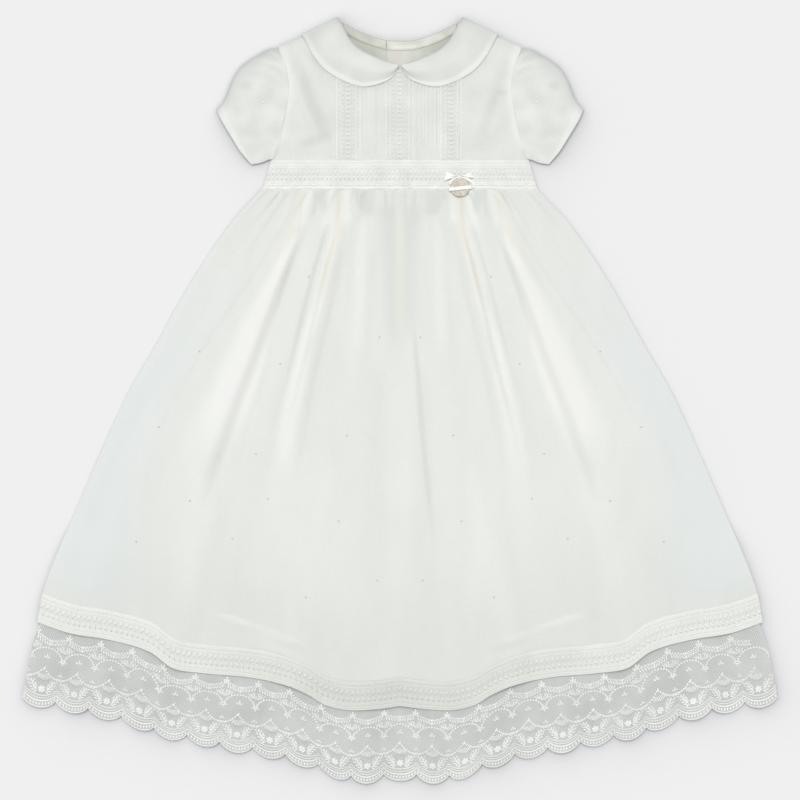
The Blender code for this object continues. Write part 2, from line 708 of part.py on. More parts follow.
def charm():
    steps = (-1.0, -0.5, 0.0, 0.5, 1.0)
    spots = [
        (CHARM_AT[0] + CHARM_RADIUS * right, CHARM_AT[1] + CHARM_RADIUS * up)
        for right in steps for up in steps
    ]
    low = GAP + max(band_top(x, y) if y > BAND_FOOT else skirt_top(x, y) for x, y in spots)
    disc("charm_disc", CHARM_AT, CHARM_RADIUS, low, CHARM_THICK, "charm")
    long, wide, thick = RIBBON_BAR
    tilt = math.radians(6)

    def place(across, along):
        off = Vector(((across - 0.5) * long, (along - 0.5) * wide))
        x = CHARM_AT[0] + off.x * math.cos(tilt) - off.y * math.sin(tilt)
        y = CHARM_AT[1] - 1.0 + off.x * math.sin(tilt) + off.y * math.cos(tilt)
        return x, y, low + CHARM_THICK + GAP

    panel("ribbon_bar", 6, 1, place, thick, "satin")


def buttons():
    for number, height in enumerate(BUTTON_HEIGHTS, 1):
        disc(f"button_{number}", (0.0, height), BUTTON_RADIUS, BUTTON_CLEAR, BUTTON_THICK, "pearl", 12)


def build():
    for old in list(bpy.data.objects):
        bpy.data.objects.remove(old, do_unlink=True)
    back_bodice()
    neck_bindings()
    buttons()
    front_bodice()
    lace_strips()
    for name, hand in (("left", -1), ("right", 1)):
        collar_leaf(f"collar_{name}", hand)
        sleeve(f"sleeve_{name}", hand)
    waistbands()
    skirts()
    linings()
    hem_bands()
    ruffles()
    bow()
    charm()


build()
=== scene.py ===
"""Looks of the christening gown: sheer organza over a cotton lining, tucks, lace and embroidery.

The gown lies flat on its back. +X is to the viewer's right, +Y towards the collar, +Z up. Places
and sizes are in millimetres, as in the part's source, and become metres in the meshes.
"""

import math

import bmesh
import bpy
from mathutils import Matrix, Vector, noise


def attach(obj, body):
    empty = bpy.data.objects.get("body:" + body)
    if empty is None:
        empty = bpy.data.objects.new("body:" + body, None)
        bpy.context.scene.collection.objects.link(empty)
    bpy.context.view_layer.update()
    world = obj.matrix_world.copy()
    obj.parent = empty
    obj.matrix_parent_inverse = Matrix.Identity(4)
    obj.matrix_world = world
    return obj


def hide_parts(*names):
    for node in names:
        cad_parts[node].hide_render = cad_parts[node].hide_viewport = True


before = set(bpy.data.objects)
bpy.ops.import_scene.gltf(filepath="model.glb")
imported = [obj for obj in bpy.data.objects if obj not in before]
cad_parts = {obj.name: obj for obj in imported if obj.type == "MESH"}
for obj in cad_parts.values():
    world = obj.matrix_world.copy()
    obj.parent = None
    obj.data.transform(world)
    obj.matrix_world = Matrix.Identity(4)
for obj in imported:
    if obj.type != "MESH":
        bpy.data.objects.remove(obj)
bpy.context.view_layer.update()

MM = 0.001
CLOTH = 0.35           # thickness of the shells that stand for cloth
PHOTO_SPAN = 784.0     # the photo shows this much from side to side

# The part's own sizes
LAYER = 1.0
FRONT_WALL = 1.2
GAP = 0.3
STEP = LAYER + GAP
LINED = 3 * STEP
UNLINED = STEP
CHEST = 112.0
BODICE_HEM = 235.0
SHOULDER_TIP = (118.6, 343.5)
NECK_CORNER = (57.5, 371.0)
OVERLAP = 13.0
COLLAR_LIFT = 1.5
BUTTON_LIFT = 1.9
BODICE_LEVEL = 3.0
PLACKET_RISE = 1.5
PLACKET_HALF = (16.0, 40.0)
STRAIGHT_HALF = 62.7
NECK_BINDING = 9.5
BAND_TOP = BODICE_HEM - GAP
BAND_FOOT = 207.5
WAIST = BAND_FOOT - GAP
HEM_BAND = 27.5
HEM_SIDE = -217.0
RUFFLE_SIDE = -298.0
RUFFLE_HALF = 369.5
RUFFLE_TUCKED = 10.0
RUFFLE_DEEP = 85.0     # from the ruffle's seam to its scallops
LINING_HEM = 0.955
SCALLOPS = 23
SCALLOP_DEPTH = 8.0
RUFFLE_FLAT = 0.16
RUFFLE_WAVES = 11
RUFFLE_WAVE = 2.0
BODICE_SIDE = (
    (234.7, 126.4), (242.6, 123.5), (255.3, 119.0), (274.9, 115.2), (289.6, 112.7),
    (302.3, 111.2), (317.0, 112.2), (333.7, 115.2), (343.5, 118.6), (372.0, 122.0),
)
FRONT_NECK = (
    (0.0, 327.3), (10.0, 328.8), (20.0, 333.0), (30.0, 337.6), (40.0, 343.0),
    (49.0, 351.5), (54.0, 361.5), NECK_CORNER,
)
BACK_NECK = (
    (0.0, 351.8), (11.8, 352.3), (19.6, 354.3), (29.4, 357.2), (39.2, 361.1),
    (49.0, 366.0), NECK_CORNER,
)
SKIRT_SIDE = (
    (207.5, 134.5), (178.0, 162.0), (142.0, 188.0), (100.0, 214.0), (53.0, 240.0),
    (6.0, 267.0), (-51.0, 293.0), (-109.0, 318.0), (-156.0, 338.0), (-189.5, 350.0),
    (-217.0, 355.0),
)
HEM_LINE = (
    (0.0, -298.5), (22.0, -301.5), (50.0, -303.0), (74.0, -297.5), (90.0, -287.5),
    (112.0, -278.0), (150.0, -270.5), (190.0, -267.0), (222.0, -261.5), (245.0, -245.5),
    (285.0, -234.0), (325.0, -227.0), (355.0, -217.0),
)
RUFFLE_LINE = (
    (0.0, -372.5), (48.0, -375.0), (74.0, -366.0), (106.0, -355.5), (137.0, -349.0),
    (169.0, -343.5), (201.0, -337.0), (235.0, -330.0), (265.0, -319.0), (294.0, -311.5),
    (333.0, -304.0), (369.5, -298.5),
)
RUFFLE_END = (
    (-207.0, 350.0), (-217.0, 354.0), (-236.0, 360.5), (-262.0, 365.0), (-298.0, 369.5),
)
LINING_SIDE = (
    (0.0, 0.74), (0.06, 0.69), (0.23, 0.74), (0.35, 0.80), (0.50, 0.83), (0.63, 0.84),
    (0.87, 0.78), (1.0, 0.76),
)
COLLAR_FRONT = (
    (1.6, 328.3, 2.2, 323.5), (5.0, 329.2, 8.0, 315.6), (11.0, 330.6, 15.0, 311.4),
    (20.0, 334.0, 25.0, 308.0), (30.0, 338.6, 37.0, 306.8), (39.5, 343.8, 50.0, 310.2),
    (47.5, 351.4, 62.5, 316.2), (52.8, 360.4, 75.0, 325.0), (56.2, 367.6, 86.0, 338.8),
)
COLLAR_RIM = tuple(row[2:] for row in COLLAR_FRONT)
COLLAR_FOLD = ((60.8, 375.6), (96.2, 358.6))
COLLAR_BACK = (
    (54.0, 369.4, 92.0, 345.0), (46.0, 364.4, 84.0, 335.0), (35.0, 359.2, 68.0, 326.5),
    (22.0, 355.0, 42.0, 321.5), (8.0, 352.2, 12.0, 324.0),
)
COLLAR_WALL = 1.2
SLEEVE_HEAD = (
    (119.2, 345.0), (127.4, 344.5), (137.2, 339.6), (147.0, 333.7), (156.8, 325.9),
    (163.7, 315.1), (168.6, 303.3), (173.0, 293.0), (180.0, 284.7),
)
SLEEVE_UNDERARM = ((127.2, 236.2), (136.0, 232.6), (145.5, 231.0))
SLEEVE_CUFF = ((180.0, 284.7), (173.5, 272.0), (164.6, 257.3), (155.8, 243.2), (145.5, 231.0))
SLEEVE_TOP = 4.2
SLEEVE_TUCKED = 3.0    # how far the sleeve goes on under the bodice's edge
BOW_LOOPS = (
    ("bow_loop_left", ((45.4, 224.4), (55.6, 219.4), (42.6, 214.0), (50.6, 217.0))),
    ("bow_loop_right", ((60.2, 220.0), (71.0, 223.9), (65.2, 217.6), (71.5, 217.2))),
)
# In the looks alone: the bow's knot, and the middle line of the ribbon's end, which goes round the
# charm's upper edge
BOW_KNOT = (57.6, 218.0)
RIBBON_END = (
    (48.5, 211.5), (51.0, 214.6), (55.0, 216.9), (59.1, 217.6), (64.5, 216.8), (69.0, 214.6),
    (71.8, 211.2), (71.4, 207.6),
)

# Folds of the overskirt. side 0 is on both sides; the places are shares of the half width and of
# the length, and lean moves the crest towards the side seam, which makes that slope the steep one:
# (side, place at the waist, place at the hem, start, end, height, half width, lean)
FOLDS = (
    (0, 0.17, 0.20, 0.02, 0.60, 2.4, 0.075, 0.1),
    (0, 0.325, 0.41, 0.04, 0.66, 5.0, 0.055, 0.45),
    (0, 0.47, 0.52, 0.02, 0.55, 3.0, 0.055, -0.5),
    (0, 0.61, 0.74, 0.05, 0.82, 6.5, 0.085, -0.35),
    (0, 0.80, 0.84, 0.02, 0.40, 2.4, 0.070, 0.2),
    (1, -0.01, 0.09, 0.22, 0.82, 4.0, 0.060, 0.5),
    (0, 0.26, 0.29, 0.56, 1.30, 4.6, 0.095, 0.2),
    (0, 0.62, 0.66, 0.60, 1.30, 3.4, 0.110, -0.3),
    (0, 0.84, 0.86, 0.50, 1.30, 2.4, 0.085, 0.3),
    (1, -0.02, -0.02, 0.72, 1.30, 3.0, 0.130, -0.2),
)
# Lines on both sides of the skirt: (value, half width at the top, half width at the foot, places
# down the line). A crease's value is its depth in millimetres.
CREASES = (
    (0.5, 1.8, 2.6, ((59, 190), (69, 147), (84, 105), (99, 55), (110, 12), (127, -38), (132, -78))),
    (0.6, 3.0, 5.0, ((63, 105), (74, 57), (83, 19), (89, -19), (95, -56), (104, -110))),
    (0.45, 1.7, 2.4, ((93, 193), (99, 165), (108, 135), (119, 94), (127, 66), (144, 15), (157, -18),
                     (183, -75), (190, -120))),
    (0.6, 2.0, 3.0, ((130, 29), (142, -9), (153, -47), (160, -85))),
    (0.5, 2.0, 2.0, ((29, 196), (31, 150), (33, 100))),
    (0.6, 2.0, 2.6, ((44, 196), (47, 150), (50, 95), (54, 40))),
    (0.5, 2.0, 3.0, ((10, 54), (22, -30), (36, -137))),
    (0.7, 9.0, 14.0, ((160, -221), (130, -233), (96, -250))),
)
# Where more or fewer layers of the gathered organza lie on each other, and painted shade: the rows
# that take away are painted shadows of the puckers below the waist, of the valleys and of the fold
# edges. A value adds to how full and how shaded the cloth looks, which is 1 where the cloth is
# whitest
LAYERED_AND_SHADED = (
    (0.50, 5.0, 17.0, ((58, 198), (68, 138), (77, 100), (91, 61), (100, 22), (108, -16), (114, -60),
                       (118, -120))),
    (0.58, 5.0, 42.0, ((97, 172), (112, 138), (130, 100), (146, 61), (159, 22), (174, -16),
                       (190, -70))),
    (0.25, 5.0, 12.0, ((36, 180), (38, 150), (40, 95), (42, 30))),
    (-0.40, 16.0, 12.0, ((14, 196), (10, 165), (3, 40))),
    (-0.70, 15.0, 7.0, ((37, 209), (35, 198), (30, 178))),
    (-0.55, 9.0, 4.0, ((78, 209), (76, 199), (73, 182))),
    (-0.35, 8.0, 4.0, ((116, 208), (120, 195), (126, 178))),
    (0.55, 5.0, 9.0, ((52, 207), (53, 192), (54, 168))),
    (0.50, 5.0, 10.0, ((67, 208), (69, 188), (74, 162))),
    (0.50, 5.0, 11.0, ((88, 208), (94, 190), (101, 164))),
    (0.50, 4.0, 9.0, ((107, 208), (114, 190), (124, 164))),
    (-0.55, 2.0, 3.0, ((15, 209), (14, 196), (14, 176))),
    (-0.45, 2.0, 3.0, ((61, 209), (60, 190), (63, 164))),
    (-0.45, 2.0, 3.0, ((84, 209), (83, 196), (86, 176))),
    (-0.45, 2.0, 3.0, ((128, 207), (136, 192), (148, 172))),
    (0.12, 10.0, 18.0, ((0, 20), (0, -130))),
    (0.22, 5.0, 8.0, ((110, 158), (131, 61), (149, 5), (170, -50))),
    (-0.24, 2.4, 4.0, ((59, 206), (61, 160), (70, 112), (85, 60), (98, 10))),
    (-0.28, 2.4, 4.0, ((95, 206), (99, 165), (108, 130), (120, 90), (135, 40))),
    (-0.12, 8.0, 20.0, ((84, 120), (102, 50), (118, -10), (140, -90))),
    (0.12, 8.0, 24.0, ((66, -60), (76, -120), (80, -220))),
    (0.06, 14.0, 30.0, ((120, -80), (128, -140), (136, -200))),
    (0.10, 8.0, 26.0, ((190, -70), (205, -130), (214, -215))),
    (-0.16, 10.0, 22.0, ((22, 40), (24, -90), (24, -230))),
    (0.45, 11.0, 20.0, ((176, -208), (140, -222), (96, -241))),
    (-0.25, 8.0, 16.0, ((150, -218), (120, -231), (88, -248))),
)
# Inner edges of the waist's pleats and the skirt's middle, painted with a creamy shade: the warm
# shadows along the pleats
CREAMY_SHADE = (
    (0.55, 7.0, 8.0, ((57, 208), (60, 170), (69, 137), (80, 84))),
    (0.50, 7.0, 8.0, ((95, 208), (103, 175), (112, 150), (138, 126))),
    (0.45, 7.0, 7.0, ((0, 190), (0, 110), (0, 40))),
)
# Woven dots of the organza, on both sides: places across and down
DOTS = (
    (89, 121), (117, 36), (20, 62), (196, 48), (141, -52), (52, -34), (236, -26), (129, -96),
    (60, -118), (205, -98), (164, -135), (92, -192), (258, -138), (22, -176),
)
# Soft creases of the front bodice: (start x, start y, end x, end y, height, half width)
BODICE_CREASES = (
    (-108.0, 318.0, -72.0, 245.0, 1.6, 9.0),
    (108.0, 312.0, 96.0, 300.0, 1.5, 7.0),
    (104.0, 292.0, 78.0, 246.0, 1.2, 10.0),
    (-100.0, 338.0, -84.0, 300.0, 1.0, 8.0),
)
# Broad soft valleys of the front bodice, in the same columns; they also darken its colour as
# painted shade
BODICE_VALLEYS = (
    (-107.0, 342.0, -64.0, 238.0, -1.0, 10.0),
    (-62.0, 262.0, -104.0, 246.0, -0.6, 8.0),
    (104.0, 330.0, 74.0, 240.0, -0.7, 9.0),
    (-92.0, 345.0, -70.0, 318.0, -0.6, 7.0),
)
# Tucks of the front bodice: (place across, lowest, highest)
TUCKS = (
    (-36.3, 252.0, 330.0), (-33.3, 252.0, 330.0), (-23.5, 240.0, 335.0), (16.6, 236.0, 335.0),
    (20.5, 248.0, 335.0), (23.5, 248.0, 335.0), (26.5, 248.0, 335.0), (31.5, 246.0, 335.0),
    (35.0, 246.0, 335.0),
)
TUCK_HALF = 0.9
TUCK_HEIGHT = 0.9
# Rows of the lace bands' embroidery: (kind, place from one edge, length or height, width)
HEM_BAND_ROWS = (
    ("cord", 0.8, 0.4, 1.0), ("beads", 2.9, 2.5, 2.0), ("cord", 5.2, 0.35, 0.7),
    ("leaves", 13.4, 7.8, 2.4), ("cord", 20.2, 0.3, 0.6), ("beads", 22.4, 2.2, 1.9),
    ("cord", 24.6, 0.35, 0.8), ("cord", 26.7, 0.35, 0.9),
)
WAISTBAND_ROWS = (
    ("cord", 0.9, 0.5, 1.5), ("beads", 3.2, 2.2, 1.8), ("cord", 5.4, 0.35, 0.7),
    ("leaves", 13.2, 6.2, 1.9), ("beads", 20.2, 1.8, 1.4), ("cord", 22.8, 0.45, 1.1),
    ("cord", 26.4, 0.45, 1.1),
)
LACE_STRIPS = (
    ("lace_strip_left", -62.7, -38.2),
    ("lace_strip_centre", -14.7, 13.7),
    ("lace_strip_right", 39.2, 60.8),
)
# Facings inside the back neck: (name, side, inner end, outer end)
NECK_BINDINGS = (
    ("neck_binding_left", -1, -OVERLAP - 0.6, -55.0),
    ("neck_binding_right", 1, -OVERLAP + 0.2, 55.0),
)
# Length of one repeat along a band, and along a strip
HEM_BAND_PITCH = 5.2
WAISTBAND_PITCH = 4.4
STRIP_PITCH = 4.4
STRIP_REPEATS = 20
PATTERN_DOWN = 1.04    # the embroidery lies this many times as far down the net as it is drawn
# Studio
SKY_COLOUR, SKY_STRENGTH = (0.99, 0.99, 1.0, 1.0), 0.45
LAMP_STRENGTH, LAMP_WIDTH = 1.87, math.radians(42)
LAMP_SHINES = (0.07, -0.30, -1.0)
TABLE_HALF = 40.0      # in metres, so that low views show no edge of it
TABLE_BELOW = 0.0002   # in metres, under the gown
TABLE_COLOUR, SHADED_TABLE = (0.86, 0.86, 0.86), (0.58, 0.57, 0.60)
SHADE_REACH = 0.07     # in metres, of the soft shade beside the gown
SHADE_LEANS = (-0.2, 0.33, 0.92)    # towards the lamp, so that the shade falls away from it
CAMERA_HEIGHT = 2.5    # in metres
CAMERA_UP = 0.0005     # in metres, from the gown's middle to the photo's, towards the collar


# Reading the tables


def smooth(low, high, value):
    """0 below low, 1 above high and a soft slope between."""
    share = min(1.0, max(0.0, (value - low) / (high - low)))
    return share * share * (3.0 - 2.0 * share)


def fall(low, high, value):
    """1 below low, 0 above high and a soft slope between."""
    return 1.0 - smooth(low, high, value)


def hump(off, half):
    """1 in the middle and less the farther off, softly; little is left at twice the half width."""
    return math.exp(-((off / half) ** 2))


def mix(first, second, share):
    return first + (second - first) * share


def curve(rows, at):
    """A smooth curve through the rows' points, read at a place; the ends are held."""
    rows = rows if rows[0][0] < rows[-1][0] else rows[::-1]
    if at <= rows[0][0]:
        return rows[0][1]
    if at >= rows[-1][0]:
        return rows[-1][1]
    index = next(i for i in range(len(rows) - 1) if at <= rows[i + 1][0])
    (x0, y0), (x1, y1) = rows[index], rows[index + 1]

    def slope(i):
        low, high = max(0, i - 1), min(len(rows) - 1, i + 1)
        return (rows[high][1] - rows[low][1]) / (rows[high][0] - rows[low][0])

    span = x1 - x0
    t = (at - x0) / span
    start, end = slope(index) * span, slope(index + 1) * span
    return (
        y0 * (2 * t**3 - 3 * t**2 + 1) + y1 * (3 * t**2 - 2 * t**3)
        + start * (t**3 - 2 * t**2 + t) + end * (t**3 - t**2)
    )


def round_curve(points, at):
    """A smooth line through the points, read at a place from 0 to 1 along them."""
    last = len(points) - 1
    x = curve([(i / last, point[0]) for i, point in enumerate(points)], at)
    y = curve([(i / last, point[1]) for i, point in enumerate(points)], at)
    return Vector((x, y))


def grain(x, y, size, seed=0.0):
    """Uneven soft relief between -1 and 1."""
    return noise.noise(Vector((x / size, y / size, seed)))


# Finishes

WAVE_UNIT = 0.314      # a wave texture repeats at this over its scale
SLUB = 0.07            # how far uneven threads shift the fullness
SLUB_WIDE = 0.0011     # width of a thread's uneven stretch, in metres
SLUB_LONG = 14.0       # and how many times as long it is


def node(tree, kind, inputs, **settings):
    made = tree.nodes.new("ShaderNode" + kind)
    for name, value in settings.items():
        setattr(made, name, value)
    for key, value in inputs.items():
        if isinstance(value, bpy.types.NodeSocket):
            tree.links.new(value, made.inputs[key])
        else:
            made.inputs[key].default_value = value
    return made


def maths(tree, operation, first, second, clamp=False):
    made = node(tree, "Math", {0: first, 1: second}, operation=operation, use_clamp=clamp)
    return made.outputs[0]


def ranged(tree, value, low, high, to_low=0.0, to_high=1.0):
    """A value that goes from low to high, brought to another range."""
    inputs = {"Value": value, "From Min": low, "From Max": high}
    return node(tree, "MapRange", {**inputs, "To Min": to_low, "To Max": to_high}).outputs[0]


def noisy(tree, place, size, detail):
    inputs = {"Vector": place, "Scale": 1 / size, "Detail": detail}
    return node(tree, "TexNoise", inputs).outputs[0]


def stretched(tree, place, scale):
    return node(tree, "Mapping", {"Vector": place, "Scale": scale}).outputs[0]


def place_on(tree, space):
    """Places on a piece: on its own axes, or on its UV map, in metres of cloth."""
    return node(tree, "TexCoord", {}).outputs[space]


def attribute(tree, name):
    return node(tree, "Attribute", {}, attribute_name=name).outputs["Fac"]


def blended(tree, factor, first, second):
    """Two colours mixed by a factor. The first may come from another mix."""
    first = (*first, 1.0) if isinstance(first, tuple) else first
    inputs = {"Factor": factor, "A": first, "B": (*second, 1.0)}
    return node(tree, "Mix", inputs, data_type="RGBA").outputs["Result"]


def shaded(name, roughness, **sockets):
    """A material and its shader; the sockets keep one value all over."""
    material = bpy.data.materials.new(name)
    material.use_nodes = True
    shader = material.node_tree.nodes["Principled BSDF"]
    shader.inputs["Roughness"].default_value = roughness
    for key, value in sockets.items():
        shader.inputs[key.replace("_", " ")].default_value = value
    return material, material.node_tree, shader


def patchy_colour(tree, shader, place, light, dark, size, stretch=(1.0, 1.0, 1.0)):
    """The colour drifts softly between two near shades."""
    patches = ranged(tree, noisy(tree, stretched(tree, place, stretch), size, 3.0), 0.35, 0.65)
    tree.links.new(blended(tree, patches, dark, light), shader.inputs["Base Color"])


def crossing_threads(tree, place, period, turned):
    """Height of two sets of threads that cross, one every period metres."""
    turn = node(tree, "Mapping", {"Vector": place, "Rotation": (0.0, 0.0, turned)}).outputs[0]
    inputs = {"Vector": turn, "Scale": WAVE_UNIT / period, "Distortion": 0.6, "Detail": 1.0}
    sets = [
        node(tree, "TexWave", inputs, bands_direction=way).outputs["Fac"] for way in ("X", "Y")
    ]
    return maths(tree, "MAXIMUM", *sets)


def relief(tree, shader, height, strength, depth):
    bump = node(tree, "Bump", {"Height": height, "Strength": strength, "Distance": depth})
    tree.links.new(bump.outputs[0], shader.inputs["Normal"])


def slubs(tree, place):
    """Uneven threads both ways: the brighter, the thicker the thread."""
    ways = [
        noisy(tree, stretched(tree, place, scale), SLUB_WIDE, 2.0)
        for scale in ((1.0, 1 / SLUB_LONG, 1.0), (1 / SLUB_LONG, 1.0, 1.0))
    ]
    return maths(tree, "ADD", *ways)


def cloth_finish(
    name, thin, full, weave, alpha=1.0, roughness=0.75, tint=None, below=None, space="UV"
):
    """Cloth or thread, uneven, with a fine weave and the dull glow of its fibres. How full and how
    shaded the cloth looks, a value on the mesh from 0 to 1, goes from the thin colour, which also
    stands for painted shade, to the full colour, which also stands for painted light. Its tint
    value goes from there to the tint at 1, and to the colour named below at -1; on some cloths
    these are painted shade colours."""
    material, tree, shader = shaded(
        name, roughness, Alpha=alpha, Sheen_Weight=0.15, Sheen_Roughness=0.5,
        Specular_IOR_Level=0.2,
    )
    place = place_on(tree, space)
    uneven = ranged(tree, slubs(tree, place), 0.8, 1.2, -SLUB, SLUB)
    factor = maths(tree, "ADD", attribute(tree, "fullness_and_shade"), uneven, clamp=True)
    colour = blended(tree, factor, thin, full)
    tinted = attribute(tree, "tint")
    if tint:
        colour = blended(tree, tinted, colour, tint)
    if below:
        colour = blended(tree, maths(tree, "MULTIPLY", tinted, -1.0, clamp=True), colour, below)
    tree.links.new(colour, shader.inputs["Base Color"])
    relief(tree, shader, crossing_threads(tree, place, weave, 0.0), 0.2, 0.00008)
    return material


def net_finish(name, light, dark, mesh, open_alpha, thread_alpha):
    """Fine net: its diagonal threads are denser than what is between them."""
    material, tree, shader = shaded(name, 0.8, Specular_IOR_Level=0.2)
    place = place_on(tree, "UV")
    patchy_colour(tree, shader, place, light, dark, 0.03)
    threads = crossing_threads(tree, place, mesh, math.radians(45))
    cover = ranged(tree, threads, 0.45, 0.95, open_alpha, thread_alpha)
    tree.links.new(cover, shader.inputs["Alpha"])
    relief(tree, shader, threads, 0.3, 0.0001)
    return material


def satin_finish():
    material, tree, shader = shaded(
        "satin ribbon", 0.32, Sheen_Weight=0.2, Specular_IOR_Level=0.5, Anisotropic=0.5
    )
    place = place_on(tree, "Object")
    patchy_colour(tree, shader, place, (0.95, 0.95, 0.93), (0.90, 0.90, 0.87), 0.004)
    relief(tree, shader, crossing_threads(tree, place, 0.0004, 0.1), 0.2, 0.00004)
    return material


def charm_finish():
    """A mottled disc with a dull shine."""
    material, tree, shader = shaded("mottled charm", 0.38, Specular_IOR_Level=0.5, Coat_Weight=0.3)
    place = place_on(tree, "Object")
    light, dark, drawn_out = (0.66, 0.61, 0.52), (0.42, 0.38, 0.30), (1.0, 1.6, 1.0)
    patchy_colour(tree, shader, place, light, dark, 0.0025, drawn_out)
    relief(tree, shader, noisy(tree, place, 1 / 900, 4.0), 0.3, 0.0002)
    return material


def pearl_finish():
    material, tree, shader = shaded("pearly button", 0.2, Coat_Weight=0.6, Sheen_Weight=0.1)
    place = place_on(tree, "Object")
    patchy_colour(tree, shader, place, (0.90, 0.88, 0.84), (0.80, 0.80, 0.80), 0.003)
    return material


# The organza's colour named below is a creamy painted shade, for the warm shadows along the pleats
ORGANZA = cloth_finish(
    "dotted organza", (0.82, 0.845, 0.80), (0.985, 0.995, 0.96), 0.0007, alpha=0.84,
    tint=(0.86, 0.90, 0.895), below=(0.93, 0.915, 0.81),
)
LINING = cloth_finish("cotton lining", (0.86, 0.87, 0.85), (0.92, 0.93, 0.90), 0.0006)
# The fine cotton's tint is a lilac-grey painted shade colour
BATISTE = cloth_finish(
    "fine cotton", (0.67, 0.70, 0.65), (0.86, 0.88, 0.83), 0.0005, tint=(0.56, 0.575, 0.56)
)
# The back bodice's thin colour also stands for the painted shade inside the neck opening
BACKING = cloth_finish(
    "back bodice cotton", (0.56, 0.57, 0.51), (0.80, 0.82, 0.75), 0.0005, tint=(0.73, 0.70, 0.64)
)
# The neck facing's tint is a grey painted shade colour, for its neck edge
FACING = cloth_finish(
    "neck facing", (0.60, 0.60, 0.53), (0.84, 0.85, 0.77), 0.0006, tint=(0.44, 0.43, 0.44)
)
INSERTION = cloth_finish("insertion lace ground", (0.64, 0.66, 0.61), (0.86, 0.88, 0.83), 0.0012)
NET = net_finish("lace net", (0.79, 0.805, 0.79), (0.71, 0.725, 0.71), 0.0016, 0.46, 0.82)
THREAD = cloth_finish(
    "embroidery thread", (0.76, 0.78, 0.74), (0.97, 0.985, 0.95), 0.0003, roughness=0.6,
    space="Object",
)
# The woven dot's grey is partly painted shade around the raised dot
SHADED_DOT = cloth_finish("woven dot", (0.64, 0.66, 0.625), (0.64, 0.66, 0.625), 0.0003)
SATIN = satin_finish()
CHARM = charm_finish()
PEARL = pearl_finish()


# Making pieces

# a piece's even look: how full and how shaded it looks, and its tint
EVEN = (0.5, 0.0)      # fullness and tint where a piece has one look all over


def finished(name, bm, material, nodes=(), thickness=0.0):
    """Puts a mesh in the scene as one piece of the gown, in place of the nodes."""
    bm.normal_update()
    mesh = bpy.data.meshes.new(name)
    bm.to_mesh(mesh)
    bm.free()
    mesh.shade_smooth()
    mesh.materials.append(material)
    piece = bpy.data.objects.new(name, mesh)
    bpy.context.scene.collection.objects.link(piece)
    if thickness:
        wall = piece.modifiers.new("thickness", "SOLIDIFY")
        wall.thickness = thickness * MM
        wall.offset = -1.0
        piece.modifiers.new("light by area", "WEIGHTED_NORMAL").weight = 100
    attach(piece, "root")
    if nodes:
        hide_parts(*nodes)
    return piece


def face_up(bm):
    """Turns a sheet's faces so that most of them look up."""
    bm.normal_update()
    if sum(face.normal.z for face in bm.faces) < 0:
        bmesh.ops.reverse_faces(bm, faces=bm.faces[:])


def sheet_mesh(columns, rows, place, width, length):
    """A sheet whose upper side is place(across, along): x, y, z and, where the look isn't even, how
    full and how shaded the cloth looks, its painted shade included, and the tint there. The UV map
    is in metres of cloth."""
    bm = bmesh.new()
    weave = bm.loops.layers.uv.new("weave")
    fullness_and_shade = bm.verts.layers.float.new("fullness_and_shade")
    tint = bm.verts.layers.float.new("tint")
    bmesh.ops.create_grid(bm, x_segments=columns, y_segments=rows, size=0.5)
    for face in bm.faces:
        for loop in face.loops:
            across, along = loop.vert.co.x + 0.5, loop.vert.co.y + 0.5
            loop[weave].uv = (across * width * MM, along * length * MM)
    for vertex in bm.verts:
        point = tuple(place(vertex.co.x + 0.5, vertex.co.y + 0.5))
        vertex.co = Vector(point[:3]) * MM
        vertex[fullness_and_shade], vertex[tint] = point[3:] + EVEN[len(point) - 3:]
    face_up(bm)
    return bm


def cloth(name, grid, place, size, material, slot, nodes, thickness=CLOTH):
    """grid is the number of columns and rows, size the cut's width and length in millimetres."""
    return finished(name, sheet_mesh(*grid, place, *size), material, nodes, thickness)


def highest_up(bm):
    """Turns a folded or closed piece's faces so that its highest one looks up."""
    bm.normal_update()
    highest = max(bm.faces, key=lambda face: face.calc_center_median().z)
    if highest.normal.z < 0:
        bmesh.ops.reverse_faces(bm, faces=bm.faces[:])


def in_metres(bm):
    bmesh.ops.scale(bm, verts=bm.verts[:], vec=(MM, MM, MM))
    return bm


# Levels, as in the part's source


def armhole(height):
    return curve(BODICE_SIDE, height)


def top_edge(neckline, across):
    across = abs(across)
    if across <= NECK_CORNER[0]:
        return curve(neckline, across)
    share = (across - NECK_CORNER[0]) / (SHOULDER_TIP[0] - NECK_CORNER[0])
    return mix(NECK_CORNER[1], SHOULDER_TIP[1], share)


def fanned(across, height):
    if abs(across) <= STRAIGHT_HALF:
        return across
    share = (abs(across) - STRAIGHT_HALF) / (CHEST - STRAIGHT_HALF)
    return math.copysign(mix(STRAIGHT_HALF, armhole(height), share), across)


def crease_rise(creases, x, y):
    rise = 0.0
    for x0, y0, x1, y1, height, half in creases:
        length = math.hypot(x1 - x0, y1 - y0)
        along = ((x - x0) * (x1 - x0) + (y - y0) * (y1 - y0)) / length**2
        off = ((x - x0) * (y1 - y0) - (y - y0) * (x1 - x0)) / length
        if 0.0 < along < 1.0 and abs(off) < half:
            rise += height * math.cos(math.pi * off / half / 2) ** 2 * math.sin(math.pi * along)
    return rise


def front_level(x, y):
    """Underside of the front bodice's wall in the solids."""
    inset = armhole(y) - abs(x)
    placket = PLACKET_RISE * fall(*PLACKET_HALF, abs(x))
    shoulder = smooth(310.0, 326.0, y) * fall(104.0, 114.0, abs(x))
    over_back = max(smooth(0.0, 14.0, inset), shoulder)
    rise = crease_rise(BODICE_CREASES, x, y)
    return mix(UNLINED, BODICE_LEVEL + placket, over_back) + rise


